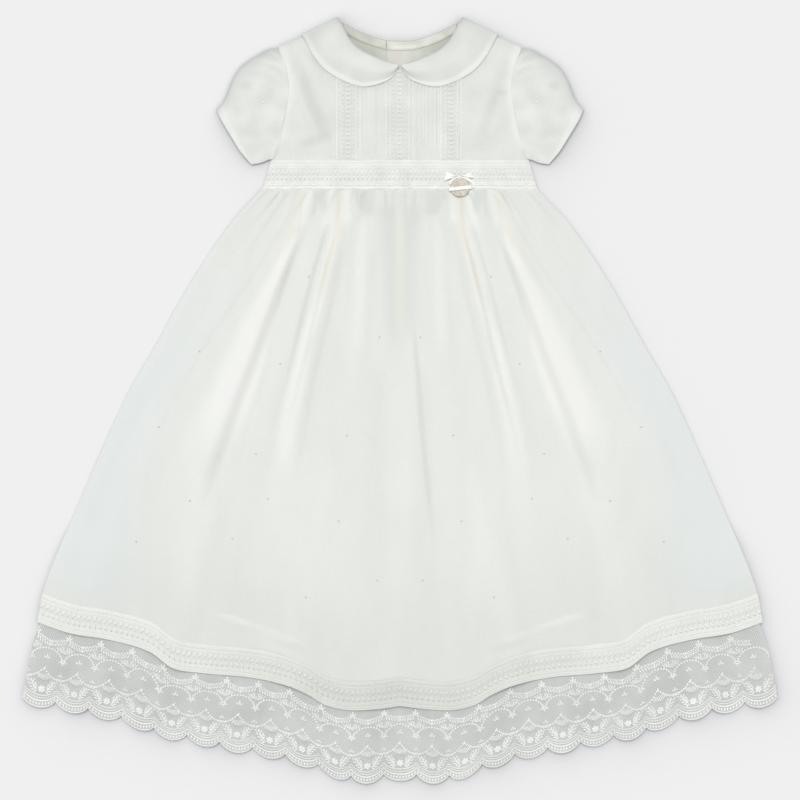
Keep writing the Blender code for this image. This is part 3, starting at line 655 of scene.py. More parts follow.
def back_level(side, x, y):
    collar = COLLAR_LIFT * smooth(303.0, 316.0, y) * fall(102.0, 112.0, abs(x))
    buttons = BUTTON_LIFT * fall(8.0, 26.0, abs(x)) * smooth(236.0, 248.0, y)
    lap = STEP * fall(14.0, 24.0, x) if side > 0 else 0.0
    return max(collar, buttons) + lap


def skirt_half(side_height):
    return curve(SKIRT_SIDE, side_height)


def hem_height(share):
    return curve(HEM_LINE, abs(share) * HEM_LINE[-1][0])


def skirt_point(share, length):
    """x and y at a share of the half width and of the length; the hem band is beyond length 1."""
    side_top = HEM_SIDE + HEM_BAND
    hem_top = hem_height(share) + HEM_BAND
    side = mix(WAIST, side_top, length)
    y = mix(WAIST, hem_top, length)
    if length > 1.0:
        side = side_top - (length - 1.0) * (WAIST - side_top)
        y = hem_top - (length - 1.0) * (WAIST - side_top)
    return share * skirt_half(side), y


def fold_rise(share, length):
    """Height of the folds: each crest leans to one side, so one slope is the steeper."""
    rise = 0.0
    for side, at_waist, at_hem, start, end, height, half, lean in FOLDS:
        for hand in (1,) if side else (1, -1):
            off = (hand * share - mix(at_waist, at_hem, length)) / half
            if abs(off) < 1.0:
                slope = 1.0 - lean if off > lean else 1.0 + lean
                ramp = smooth(start, start + 0.14, length) * fall(end - 0.24, end, length)
                rise += height * math.cos(math.pi * (off - lean) / slope / 2) ** 2 * ramp
    return rise


def along_lines(rows, x, y, sharp=1.0):
    """What the lines add at a point. A sharp line is a thin one with a pointed middle."""
    total = 0.0
    for value, wide_top, wide_foot, places in rows:
        top, foot = places[0][1], places[-1][1]
        if not foot < y < top:
            continue
        down = (top - y) / (top - foot)
        off = abs(x) - curve([(at_y, at_x) for at_x, at_y in places], y)
        off = abs(off) / mix(wide_top, wide_foot, down)
        if off < 1.0:
            ends = smooth(0.0, 0.08, down) * fall(0.7, 1.0, down)
            total += value * (1.0 - off ** (2.0 - sharp)) ** 1.5 * ends
    return total


def gathers(share, below):
    """Small uneven puckers just below a gathered seam; below is in millimetres."""
    fade = smooth(0.0, 3.0, below) * math.exp(-below / 24.0)
    if fade < 0.02:
        return 0.0
    phase = share * 62.0 + 3.5 * grain(share * 7.0, 0.0, 1.0, 3.0)
    size = 1.0 + 1.6 * grain(share * 9.0, 0.0, 1.0, 5.0)
    return fade * size * (1.0 + math.sin(phase))


def skirt_level(share, length):
    """Underside of the overskirt's wall in the solids, closed to the back at the side seams."""
    edge = curve(LINING_SIDE, length)
    lined = fall(edge + 0.02, edge + 0.10, abs(share))
    at_hem = smooth(0.80, 0.90, length)
    level = mix(UNLINED, LINED, max(lined, at_hem))
    seam = fall(0.93, 1.0, abs(share))
    return level + fold_rise(share, length) * seam


def seam_drop(share):
    """How far the front cloth goes down to meet the back at a side seam."""
    return 1.6 * smooth(0.965, 1.0, abs(share))


def skirt_top(share, length):
    """A point of the overskirt's upper side."""
    x, y = skirt_point(share, length)
    relief_here = 0.35 * grain(x, y * 0.35, 26.0) + 0.12 * grain(x, y * 0.5, 7.0, 8.0)
    top = skirt_level(share, length) + FRONT_WALL + gathers(share, (WAIST - y))
    return x, y, top + relief_here - along_lines(CREASES, x, y) - seam_drop(share)


def skirt_layers_and_shade(share, length):
    """How full the organza looks at a point, with painted shade in its valleys and puckers and
    painted
    light on its fold crests, and its tint: cool where no lining is under it and a creamy painted
    shade along the pleats."""
    x, y = skirt_point(share, length)
    edge = curve(LINING_SIDE, length)
    low = smooth(0.35, 0.65, length)
    bare = smooth(edge - mix(0.01, 0.05, low), edge + mix(0.06, 0.12, low), abs(share))
    bare *= fall(0.93, 1.0, length)
    lining_edge = 0.24 * hump(abs(share) - edge, 0.006) * (1.0 - 0.8 * low)
    # layers, painted shade from the table, and painted light on the fold crests
    folded = along_lines(LAYERED_AND_SHADED, x, y, 0.0) + 0.10 * (fold_rise(share, length) / 5.0)
    cloudy = 0.10 * grain(x, y * 0.25, 14.0, 3.0) + 0.08 * grain(x, y * 0.4, 45.0, 5.0)
    ends = 0.18 * math.exp(-(WAIST - y) / 30.0) + 0.32 * smooth(0.70, 0.95, length)
    cool = bare * smooth(0.10, 0.55, length)
    # the creamy painted shade along the pleats takes the tint towards the colour named below
    tint = 0.75 * cool - along_lines(CREAMY_SHADE, x, y, 0.0)
    return 0.48 + folded * (1.0 - bare) + cloudy - ends - lining_edge, tint


def scallop(share):
    """Rise of the ruffle's lower edge between the scallops' tips."""
    return SCALLOP_DEPTH * (1.0 - abs(math.sin(math.pi * SCALLOPS * (share + 1) / 2)) ** 0.7)


def ruffle_point(share, drop):
    side_top = HEM_SIDE + RUFFLE_TUCKED
    side = mix(side_top, RUFFLE_SIDE, drop)
    x = share * curve(RUFFLE_END, side)
    foot = curve(RUFFLE_LINE, abs(share) * RUFFLE_HALF)
    y = mix(hem_height(share) + RUFFLE_TUCKED, foot, drop)
    return x, y + scallop(share) * smooth(0.55, 0.9, drop)


def ruffle_top(share, drop, layer):
    """A point of the front (layer 1) or back (layer 0) ruffle's upper side."""
    x, y = ruffle_point(share * mix(0.992, 1.0, drop), drop)
    below = max(0.0, (drop - RUFFLE_FLAT) / (1.0 - RUFFLE_FLAT))
    level = STEP * (layer + 1 - below)
    if layer:
        wave = 0.5 + 0.5 * math.cos(2 * math.pi * RUFFLE_WAVES * (share + 1) / 2 + 0.6)
        level += RUFFLE_WAVE * wave * smooth(0.2, 0.7, drop) + 0.2 * grain(x, y, 11.0)
        return x, y, level + LAYER
    return x, y, max(level, 0.0) + CLOTH


# Skirt


def skirts():
    def front(across, along):
        share = 2 * across - 1
        return *skirt_top(share, along), *skirt_layers_and_shade(share, along)

    def back(across, along):
        share = 2 * across - 1
        x, y = skirt_point(share, along)
        creased = 0.5 * along_lines(CREASES, x, y) + 0.3 * abs(grain(x, y * 0.3, 40.0, 2.0))
        return x, y, CLOTH + creased * fall(0.93, 1.0, abs(share))

    look = ((700, 460), ORGANZA, "organza")
    top = cloth("overskirt_front", (230, 150), front, *look, ["skirt_front"])
    under = cloth("overskirt_back", (90, 70), back, *look, ["skirt_back"])
    return top, under


def skirt_share(x, y):
    """The shares of the half width and of the length at a place on the skirt."""
    share = length = 0.5
    for _ in range(8):
        length = (WAIST - y) / (WAIST - hem_height(share) - HEM_BAND)
        share = x / skirt_half(mix(WAIST, HEM_SIDE + HEM_BAND, length))
    return share, length


def swiss_dots():
    """Small woven dots, each a lens of thicker thread in the organza, grey for the thicker thread
    and for the painted shade around it.
    """
    bm = bmesh.new()
    for across, height in DOTS:
        for hand in (-1, 1):
            x, y, z = skirt_top(*skirt_share(hand * across, height))
            stitch(bm, x, y, 2.4, 1.8, 0.4 * across, z, 0.3)
    return finished("woven_dots", in_metres(bm), SHADED_DOT)


def lining(name, layer):
    """A layer of the lining, from the waist to just above the hem band."""

    def place(across, along):
        length = mix(0.002, LINING_HEM, along)
        share = (2 * across - 1) * curve(LINING_SIDE, length)
        x, y = skirt_point(share, length)
        return x, y, layer * STEP + CLOTH + 0.25 * abs(grain(x, y * 0.5, 22.0, layer))

    return cloth(f"{name}_cloth", (90, 90), place, (527, 440), LINING, "lining", [name])


# Embroidery. A pattern is built flat, in millimetres, and then laid on its cloth.


def stitch(bm, x, y, length, width, turned=0.0, base=0.0, height=None):
    """One padded stitch: a plump oval of thread."""
    height = height or 0.4 * width
    shape = (
        Matrix.Translation((x, y, base))
        @ Matrix.Rotation(turned, 4, "Z")
        @ Matrix.Diagonal((length / 2, width / 2, height, 1.0))
    )
    bmesh.ops.create_icosphere(bm, subdivisions=1, radius=1.0, matrix=shape)


def cord_line(bm, points, width=0.7, height=0.45):
    """A raised cord along a line of points."""
    last = len(points) - 1
    made = bmesh.ops.create_grid(bm, x_segments=last, y_segments=2, size=0.5)
    for vertex in made["verts"]:
        step = round((vertex.co.x + 0.5) * last)
        side = round(2 * vertex.co.y)
        before, after = Vector(points[max(0, step - 1)]), Vector(points[min(last, step + 1)])
        way = (after - before).normalized()
        x = points[step][0] - way.y * side * width / 2
        y = points[step][1] + way.x * side * width / 2
        vertex.co = (x, y, height * (1 - abs(side)))


def laid(name, bm, surface, lift=0.05):
    """Lays a flat pattern on a cloth: surface(x, y) gives the cloth's point under it, and how full
    the thread looks there, with any painted shade of the cloth under it."""
    fullness_and_shade = bm.verts.layers.float.new("fullness_and_shade")
    for vertex in bm.verts:
        x, y, z, full = surface(vertex.co.x, vertex.co.y)
        vertex[fullness_and_shade] = full
        vertex.co = Vector((x, y, max(0.0, z + vertex.co.z + lift))) * MM
    return finished(name, bm, THREAD)


def leaf_pair(bm, x, y, way, length, width, spread=0.75):
    """Two leaves that open like a V from a stem; way is the stem's direction."""
    for hand in (-1, 1):
        turn = way + hand * spread
        out = Vector((math.cos(turn), math.sin(turn))) * length / 2
        stitch(bm, x + out.x, y + out.y, length, width, turn)


def straight_cord(bm, start, end, steps, width=0.7, height=0.45):
    start, end = Vector(start), Vector(end)
    cord_line(bm, [tuple(mix(start, end, i / steps)) for i in range(steps + 1)], width, height)


def repeated(motif, count, step):
    """Copies one repeat of a pattern count times, a step apart."""
    unit = bpy.data.meshes.new("repeat")
    motif.to_mesh(unit)
    motif.free()
    bm = bmesh.new()
    for i in range(count):
        before = len(bm.verts)
        bm.from_mesh(unit)
        bm.verts.ensure_lookup_table()
        bmesh.ops.translate(bm, verts=bm.verts[before:], vec=Vector((*step, 0.0)) * i)
    bpy.data.meshes.remove(unit)
    return bm


def sprig(bm, x, y, way, length, width):
    """Three leaves from one point: one along the way and one to each side."""
    for turn, size in ((0.0, 1.0), (-0.85, 0.75), (0.85, 0.75)):
        out = Vector((math.cos(way + turn), math.sin(way + turn))) * (0.4 + length * size / 2)
        stitch(bm, x + out.x, y + out.y, length * size, width * mix(1.0, size, 0.5), way + turn)


def beaded_bow(bm, first, last, sag, count, bead):
    """Beads along a bow between two points; sag is how far its middle is moved down."""
    for i in range(count + 1):
        share = i / count
        x, y = mix(Vector(first), Vector(last), share)
        stitch(bm, x, y + sag * math.sin(math.pi * share), bead, bead * 0.9)


def hatched(bm, x, y, lines, length, turn):
    """Slanted lines of fine thread, the middle ones longer."""
    for i in range(lines):
        off = i - (lines - 1) / 2
        long = length * (1.0 - 0.3 * (2 * off / lines) ** 2)
        stitch(bm, x + 1.5 * off, y - 0.35 * abs(off), long, 0.85, turn, 0.0, 0.45)


def feathered(bm, start, end, sag, pairs, length, width):
    """Leaf pairs along a hanging stem from one point to another."""
    start, end = Vector(start), Vector(end)
    for i in range(pairs):
        share = (i + 0.8) / (pairs + 0.2)
        x, y = mix(start, end, share)
        y += sag * math.sin(math.pi * share)
        slope = (end.y - start.y + sag * math.pi * math.cos(math.pi * share)) / (end.x - start.x)
        way = math.atan(slope) + (math.pi if end.x < start.x else 0.0)
        leaf_pair(bm, x, y, way, length, width, 0.85)
        stitch(bm, x, y, 1.9, 1.2, way)


def beaded_arch(bm, first, last, rise, count, bead):
    """Beads along the upper half of an oval that stands between two points."""
    for i in range(count + 1):
        angle = math.pi * i / count
        middle, half = (first[0] + last[0]) / 2, (last[0] - first[0]) / 2
        x, y = middle - half * math.cos(angle), first[1] - rise * math.sin(angle)
        stitch(bm, x, y, bead, bead * 0.9)


def scallop_motif(bm, pitch):
    """One repeat of the ruffle's embroidery, between two scallops' tips. x runs along the ruffle
    from the first tip, y is the distance below the hem band; both are in millimetres."""
    middle = pitch / 2
    up, down = -math.pi / 2, math.pi / 2
    # The garland: three leaves over each scallop's tip, and feathery ones that fall to both sides
    sprig(bm, 0.0, 7.2, up, 6.4, 2.6)
    sprig(bm, 0.0, 8.8, up, 4.8, 2.3)
    for end in (-middle, middle):
        feathered(bm, (0.0, 8.0), (end, 12.6), 0.8, 6, 4.4, 1.6)
    for hand in (-1, 1):
        feathered(bm, (0.0, 13.4), (hand * 7.4, 17.0), 0.4, 3, 3.2, 1.2)
    hatched(bm, 0.0, 18.8, 7, 7.6, 0.95)
    # Low arches of beads, with a small cross in each and leaves at each joint
    beaded_arch(bm, (0.8, 28.4), (pitch - 0.8, 28.4), 10.8, 16, 2.6)
    sprig(bm, middle, 27.6, up, 5.4, 1.8)
    leaf_pair(bm, middle, 26.4, up, 3.4, 1.6, 1.35)
    for hand in (-1, 1):
        for i in range(3):
            turn = up + hand * (0.35 + 0.5 * i)
            stitch(bm, hand * (0.9 + 1.2 * i), 26.0 + 1.1 * i, 3.4, 1.2, turn)
    stitch(bm, 0.0, 30.2, 3.0, 1.4, down)
    # Swags of beads that hang between the scallops' middles, with a small cross in each
    beaded_bow(bm, (middle - pitch, 36.6), (middle - 1.2, 36.6), 9.4, 15, 2.7)
    sprig(bm, 0.0, 42.8, up, 4.6, 1.7)
    leaf_pair(bm, 0.0, 41.8, up, 3.2, 1.4, 1.3)
    stitch(bm, middle, 35.2, 3.0, 1.9, down)
    hatched(bm, middle, 44.6, 8, 9.6, 1.15)
    # A solid flower in the scallop, with leaves that climb to both sides
    for i in range(6):
        turn = 2 * math.pi * i / 6 + 0.3
        stitch(bm, middle + 2.2 * math.cos(turn), 55.0 + 2.0 * math.sin(turn), 3.9, 3.0, turn)
    stitch(bm, middle, 55.0, 2.4, 2.4, 0.0, 0.7)
    for hand in (-1, 1):
        feathered(bm, (middle + hand * 3.0, 57.2), (middle + hand * 14.4, 46.8), 3.2, 6, 4.6, 1.9)
        feathered(bm, (middle + hand * 3.4, 53.6), (middle + hand * 9.6, 49.0), 1.4, 3, 3.6, 1.6)


def scallop_edge(bm, pitch):
    """The scallop's border: thin cords and an outer row of plump bars."""
    steps = 10
    for below, wide in ((60.6, 0.9), (63.0, 0.7), (65.6, 1.3), (71.2, 0.9)):
        points = [(pitch * i / steps, below) for i in range(steps + 1)]
        cord_line(bm, points, wide, 0.5)
    bars = 11
    for i in range(bars):
        stitch(bm, pitch * (i + 0.5) / bars, 68.6, 3.9, 2.2, math.pi / 2)


def ruffle(name, layer):
    """One layer of the ruffle: its net, and the embroidery on it."""
    pitch = 2 * RUFFLE_HALF / SCALLOPS
    whole = pitch * SCALLOPS

    def place(across, along):
        return ruffle_top(2 * across - 1, along, layer)

    def surface(x, y):
        share = min(1.0, max(-1.0, 2 * x / whole - 1))
        drop = min(1.0, (RUFFLE_TUCKED + y * PATTERN_DOWN) / RUFFLE_DEEP)
        return *ruffle_top(share, drop, layer), 0.66 + 0.35 * grain(x, y, 28.0, 3.0)

    cells = (12 * SCALLOPS, 22)
    net = cloth(f"{name}_net", cells, place, (740, 85), NET, "net_lace", [name], 0.2)
    motif = bmesh.new()
    scallop_motif(motif, pitch)
    scallop_edge(motif, pitch)
    pattern = repeated(motif, SCALLOPS, (pitch, 0.0))
    return net, laid(f"{name}_embroidery", pattern, surface)


# Hem band and waistband


def band_pattern(width, pitch, rows):
    """Insertion lace: rows of cord, beads and laurel leaves; a row is its kind, its place, and the
    length and width of a stitch."""
    count = round(width / pitch)
    step = width / count
    motif = bmesh.new()
    for kind, at, length, wide in rows:
        if kind == "cord":
            straight_cord(motif, (0.0, at), (step, at), 2, wide, length)
        elif kind == "leaves":
            leaf_pair(motif, 0.1 * step, at, 0.0, length, wide, 0.95)
            stitch(motif, 0.4 * step, at, 0.8 * step, 0.9)
        else:
            for share in (0.25, 0.75):
                stitch(motif, share * step, at, length, wide)
    return repeated(motif, count, (step, 0.0))


def lace_band(name, point, inset, cut, columns, pitch, rows):
    """A band of insertion lace: its ground, and the threads on it. point takes shares of the half
    width and of the depth; inset is where the ground starts and ends, in shares of the depth."""
    width, deep = cut

    def place(across, along):
        return point(2 * across - 1, mix(*inset, along))

    def surface(x, y):
        return point(2 * x / width - 1, y / deep)

    ground = cloth(f"{name}_ground", (columns, 12), place, cut, INSERTION, "lace", [name])
    return ground, laid(f"{name}_embroidery", band_pattern(width, pitch, rows), surface)


def hem_bands():
    deep = HEM_BAND / (WAIST - HEM_SIDE - HEM_BAND)
    cut = (2 * HEM_LINE[-1][0], HEM_BAND)

    def front(share, down):
        x, y = skirt_point(share, 1.0 + deep * down)
        top = skirt_level(share, 1.0 + deep * down) + FRONT_WALL + 0.25
        shaded_middle = 0.50 * hump(x, 150.0)
        open_work = 0.12 * hump(down - 0.49, 0.2) + 0.2 * smooth(0.85, 1.0, down)
        full = 0.66 - shaded_middle - open_work + 0.12 * grain(x, y, 30.0, 2.0)
        return x, y, top + 0.25 * grain(x, y, 14.0) - seam_drop(share), full

    def back(share, down):
        x, y = skirt_point(share, 1.0 + deep * down)
        return x, y, CLOTH, 0.5

    return [
        lace_band(name, point, (-0.03, 1.0), cut, 220, HEM_BAND_PITCH, HEM_BAND_ROWS)
        for name, point in (("hem_band_front", front), ("hem_band_back", back))
    ]


def waistbands():
    def half_width(along):
        return mix(skirt_half(BAND_FOOT), armhole(BAND_TOP), along)

    def front(share, along):
        y = mix(BAND_FOOT, BAND_TOP, along)
        above = front_level(share * armhole(BODICE_HEM), BODICE_HEM)
        level = mix(skirt_level(share, 0.0), above, along)
        pucker = 0.5 * grain(share * 60.0, y, 3.0, 7.0) * fall(0.0, 0.6, along)
        drawn_in = 1.3 * grain(share * 130.0, 0.0, 6.5, 9.0) * fall(-0.05, 0.22, along)
        open_work = 0.14 * hump(along - 0.48, 0.2)
        full = 0.76 - open_work + 0.7 * pucker + 0.24 * grain(share * 130.0, y, 13.0, 2.0)
        top = level + FRONT_WALL + 0.3 + pucker - seam_drop(share)
        return share * half_width(along), y + drawn_in, top, full

    def back(share, along):
        return share * half_width(along), mix(BAND_FOOT, BAND_TOP, along), CLOTH, 0.5

    cut = (262.0, BAND_TOP - BAND_FOOT)
    return [
        lace_band(name, point, (-0.05, 1.03), cut, 130, WAISTBAND_PITCH, WAISTBAND_ROWS)
        for name, point in (("waistband_front", front), ("waistband_back", back))
    ]


# Bodice


def bodice_top(x, y):
    """Height of the front bodice's upper side, without its tucks."""
    inset = armhole(y) - abs(x)
    ridge = 0.9 * hump(inset - 5.0, 2.6) * smooth(240.0, 262.0, y)
    uneven = 0.35 * grain(x, y * 0.7, 24.0, 4.0) + crease_rise(BODICE_VALLEYS, x, y)
    sleeved = smooth(236.0, 246.0, y) * fall(342.0, 350.0, y)
    joined = mix(1.6, SLEEVE_TOP + 0.6, sleeved)
    return mix(joined, front_level(x, y) + FRONT_WALL + uneven, smooth(-1.0, 9.0, inset)) + ridge


def bodice_layers_and_shade(x, y):
    """How full the front bodice's cloth looks at a point, with painted shade in its soft valleys
    and below the collar's rim.
    """
    inset = armhole(y) - abs(x)
    seam = 0.38 * hump(inset - 4.0, 3.6) * smooth(236.0, 262.0, y)
    cloudy = 0.20 * grain(x, y, 22.0, 6.0) + 0.10 * grain(x, y, 9.0, 2.0)
    below = curve(COLLAR_RIM, abs(x)) - y
    shadow = 0.45 * math.exp(-max(0.0, below) / 4.0) if abs(x) < COLLAR_RIM[-1][0] else 0.0
    # the valleys darken the colour as painted shade, and a shadow is painted below the collar's rim
    return 0.52 + seam + cloudy + 0.55 * crease_rise(BODICE_VALLEYS, x, y) - shadow


def front_bodice():
    """Its columns are even, with five finer ones over each tuck."""
    apart, clear = 2.4, 1.5
    plain = [-CHEST + apart * i for i in range(int(2 * CHEST / apart) + 1)] + [CHEST]
    fine = [tuck[0] + TUCK_HALF * off for tuck in TUCKS for off in (-1.0, -0.5, 0.0, 0.5, 1.0)]
    far = [at for at in plain if all(abs(at - tuck[0]) > clear for tuck in TUCKS)]
    columns = sorted(far + fine)
    last = len(columns) - 1

    def place(across, along):
        column = columns[round(across * last)]
        y = mix(BODICE_HEM, top_edge(FRONT_NECK, column), along)
        x = fanned(column, y)
        tucked = 0.0
        for at, low, high in TUCKS:
            off = abs(column - at) / TUCK_HALF
            if off < 1.0 and low < y < high:
                tucked = TUCK_HEIGHT * (1.0 - off**2) * min(1.0, (y - low) / 5.0)
        # painted shade in the lilac shade colour of the tint, where the cloth turns over the
        # shoulder
        below_shoulder = max(0.0, top_edge(FRONT_NECK, column) - y)
        shade_at_shoulder = 0.55 * math.exp(-below_shoulder / 3.5)
        return x, y, bodice_top(x, y) + tucked, bodice_layers_and_shade(x, y) + 0.3 * tucked, shade_at_shoulder

    look = ((250, 136), BATISTE, "bodice_cloth")
    return cloth("bodice_front_cloth", (last, 90), place, *look, ["bodice_front"], 0.5)


def strip_motif(left, right, low):
    """One repeat of a lace strip between two heights, with the cords and beads of its edges."""
    middle, up = (left + right) / 2, math.pi / 2
    motif = bmesh.new()
    leaf_pair(motif, middle, low + 1.0, up, 4.8, 1.6, 0.8)
    stitch(motif, middle, low + 2.4, 1.8, 1.4)
    for hand in (-1, 1):
        off = hand * 0.21 * (right - left)
        stitch(motif, middle + off, low + 3.0, 3.6, 1.3, up + hand * 0.7)
    for edge, way in ((left, 1), (right, -1)):
        for at, wide in ((0.8, 1.2), (5.0, 0.8)):
            cord = edge + way * at
            straight_cord(motif, (cord, low), (cord, low + STRIP_PITCH), 2, wide, 0.5)
        for share in (0.25, 0.75):
            stitch(motif, edge + way * 3.0, low + share * STRIP_PITCH, 1.7, 1.9)
    return motif


def lace_strip(name, left, right):
    def on_bodice(x, y, fuller):
        return x, y, bodice_top(x, y) + 0.35, bodice_layers_and_shade(x, y) + fuller

    def place(across, along):
        x = mix(left, right, across)
        return on_bodice(x, mix(BODICE_HEM, top_edge(FRONT_NECK, x), along), -0.06)

    def surface(x, y):
        return on_bodice(x, y, 0.08)

    look = ((right - left, 115), INSERTION, "lace")
    ground = cloth(f"{name}_ground", (24, 70), place, *look, [name], 0.25)
    motif = strip_motif(left, right, BODICE_HEM + 0.5)
    pattern = repeated(motif, STRIP_REPEATS, (0.0, STRIP_PITCH))
    return ground, laid(f"{name}_embroidery", pattern, surface)


def back_half(name, side):
    """Half of the back bodice; the right one's edge at the middle is the placket."""

    def place(across, along):
        column = side * mix(-OVERLAP, CHEST, across)
        y = mix(BODICE_HEM, top_edge(BACK_NECK, column), along)
        x = fanned(column, y)
        # painted shade inside the neck opening: darker away from the middle
        full = 0.55 - 0.7 * smooth(8.0, 40.0, abs(x - 4.0)) + 0.25 * grain(x, y, 9.0, 7.0)
        placket = fall(-1.0, 0.5, x) if side > 0 else 0.0
        return x, y, back_level(side, x, y) + LAYER, full, placket

    look = ((126, 136), BACKING, "bodice_cloth")
    return cloth(f"{name}_cloth", (60, 50), place, *look, [name], 0.6)


def neck_binding(name, side, inner, outer):
    """A facing inside one half of the back neck, painted darker towards its ends and greyest along
    the neck edge: painted shade inside the neck opening, under the collar.
    """

    def place(across, along):
        x = mix(inner, outer, across)
        y = curve(BACK_NECK, abs(x)) - mix(NECK_BINDING, GAP, along)
        seam = 0.4 * hump(along - 0.80, 0.08)
        raised = LAYER + mix(0.5, LAYER + GAP, smooth(0.0, 0.25, along)) + seam
        # painted shade: darker towards the ends and the neck edge, and greyest along it through the
        # tint
        far = 0.4 * smooth(4.0, 20.0, -x) + 0.4 * smooth(25.0, 48.0, abs(x))
        full = 0.88 - far + 0.4 * grain(x, y * 2.0, 12.0, 4.0) - 0.2 * smooth(0.2, 0.5, along)
        return x, y, back_level(side, x, y) + raised, full, 0.8 * smooth(0.86, 1.0, along)

    look = ((abs(outer - inner), NECK_BINDING), FACING, "satin")
    return cloth(f"{name}_cloth", (40, 12), place, *look, [name], 0.5)


# Collar and sleeves


def collar(name, hand):
    """A leaf of the collar, from its rounded front end round the shoulder fold to the back."""
    neck_fold, outer_fold = (Vector(end) for end in COLLAR_FOLD)
    shoulder = outer_fold - neck_fold
    outward = Vector((-shoulder.y, shoulder.x)).normalized()
    front_steps, turns, back_steps, rows = 32, 10, 16, 30

    def top_height(x, y):
        clear = mix(1.8, 0.7, smooth(62.0, 74.0, abs(x)))
        return front_level(hand * x, y) + FRONT_WALL + clear + COLLAR_WALL

    def between(stations, at, share):
        neck = round_curve([row[:2] for row in stations], at)
        outer = round_curve([row[2:] for row in stations], at)
        return mix(neck, outer, share)

    def line(share):
        crown = 1.5 * math.sin(math.pi * (0.12 + 0.88 * share) ** 0.8)
        rim = 0.5 * hump(share - 0.92, 0.06)
        points = []
        for i in range(front_steps + 1):
            x, y = between(COLLAR_FRONT, i / front_steps, share)
            lying = bodice_top(hand * x, y) + 0.95
            z = mix(top_height(x, y) + crown, lying, smooth(0.45, 0.98, share)) + rim
            points.append((x, y, z))
        fold = mix(neck_fold, outer_fold, share)
        radius = (top_height(*fold) + crown * 0.4) / 2
        for turn in range(turns + 1):
            angle = math.pi * turn / turns
            x, y = fold - outward * radius * (1 - math.sin(angle))
            points.append((x, y, radius * (1 + math.cos(angle))))
        for i in range(back_steps + 1):
            x, y = between(COLLAR_BACK, i / back_steps, share)
            points.append((x, y, 0.0))
        return points

    lines = [line(row / rows) for row in range(rows + 1)]
    last = len(lines[0]) - 1

    def place(across, along):
        x, y, z = lines[round(along * rows)][round(across * last)]
        # painted shade just inside the rim, and in the lilac shade colour of the tint by the neck
        # and the shoulder fold; the rim itself is whiter for its extra layers
        rim = 0.50 * smooth(0.84, 0.92, along)
        shade_inside_rim = 0.10 * hump(along - 0.80, 0.07)
        full = 0.60 + rim - shade_inside_rim + 0.34 * grain(hand * x, y, 19.0, 8.0)
        shade_at_neck = 0.28 * hump(along, 0.20) + 0.7 * hump(along, 0.045)
        inside_fold = max(0.0, (neck_fold - Vector((x, y))).dot(outward))
        shade_at_fold = 0.50 * math.exp(-inside_fold / 4.0) + 0.25 * math.exp(-inside_fold / 16.0)
        return hand * x, y, z, full, shade_at_neck + shade_at_fold

    bm = sheet_mesh(last, rows, place, 200, 36)
    highest_up(bm)
    return finished(f"{name}_cloth", bm, BATISTE, [name], 0.7)


def sleeve_plan(out, down):
    """Plan place in a sleeve laid flat: out from armhole to cuff, down from head to underarm."""
    top_y, low_y = SLEEVE_HEAD[0][1], SLEEVE_UNDERARM[0][1]

    def seam(share):
        y = mix(top_y, low_y, share)
        return Vector((armhole(y) + 0.6, y))

    head, cuff = round_curve(SLEEVE_HEAD, out), round_curve(SLEEVE_CUFF, down)
    under = round_curve(SLEEVE_UNDERARM, out)
    ruled = mix(seam(down), cuff, out) + mix(head, under, down)
    cuff_ends = mix(Vector(SLEEVE_CUFF[0]), Vector(SLEEVE_CUFF[-1]), down)
    tucked = Vector((SLEEVE_TUCKED * fall(0.0, 0.06, out), 0.0))
    return ruled - mix(mix(seam(0), seam(1), down), cuff_ends, out) - tucked


def sleeve(name, hand):
    """A short puffed sleeve pressed flat: a tube, gathered into the armhole, with a hemmed cuff."""
    around, steps, puckers = 96, 40, 10.0
    dot_at = (0.228, 0.34)

    def gathered(out, down):
        phase = 2 * math.pi * puckers * (down + 0.5 * out)
        phase += 2.0 * grain(down * 5.0, out * 2.0, 1.0, hand)
        long = smooth(0.0, 0.08, out) * math.exp(-out * 5.0)
        return 0.8 * math.cos(phase) * fall(0.15, 0.4, down) * long

    def height(out, down):
        puff = 2.0 * math.sin(math.pi * down) * math.sin(math.pi * min(1, out + 0.06) / 1.06)
        hem = 0.35 * hump(out - 0.93, 0.02)
        return SLEEVE_TOP + 0.7 * (1 + gathered(out, down)) + puff + hem

    def place(across, along):
        turn = across * 2.0
        side, share = (1, turn) if turn <= 1.0 else (-1, 2.0 - turn)
        down = (1 - math.cos(math.pi * share)) / 2
        x, y = sleeve_plan(along, down)
        edge = min(1.0, 2.2 * math.sqrt(max(0.0, down * (1 - down))))
        top = height(along, down)
        uneven = 0.9 * grain(x, y, 18.0, 9.0) * edge if side > 0 else 0.0
        hem = 0.3 * smooth(0.9, 0.93, along) + 0.3 * smooth(0.72, 0.98, down)
        full = 0.60 + hem + 0.42 * grain(x, y, 17.0, 9.0) + 0.5 * gathered(along, down)
        # painted shade in the lilac shade colour of the tint: along the head and in cloudy patches
        head = 0.45 * hump(down, 0.03) + 0.45 * hump(down, 0.10)
        head += 0.12 * fall(0.0, 0.5, down)
        patches = 0.5 * max(0.0, grain(x, y, 15.0, 14.0))
        z = max(0.0, top / 2 + side * top / 2 * edge + uneven)
        return hand * x, y, z, full, head + patches

    bm = sheet_mesh(around, steps, place, 230, 58)
    bmesh.ops.remove_doubles(bm, verts=bm.verts[:], dist=0.01 * MM)
    highest_up(bm)
    x, y, z = place(*dot_at)[:3]
    dot = bmesh.new()
    stitch(dot, x, y, 3.9, 2.3, 0.1 * hand, z, 0.6)
    woven = finished(f"{name}_dot", in_metres(dot), SATIN)
    return finished(f"{name}_cloth", bm, BATISTE, [name], 0.5), woven


# Bow


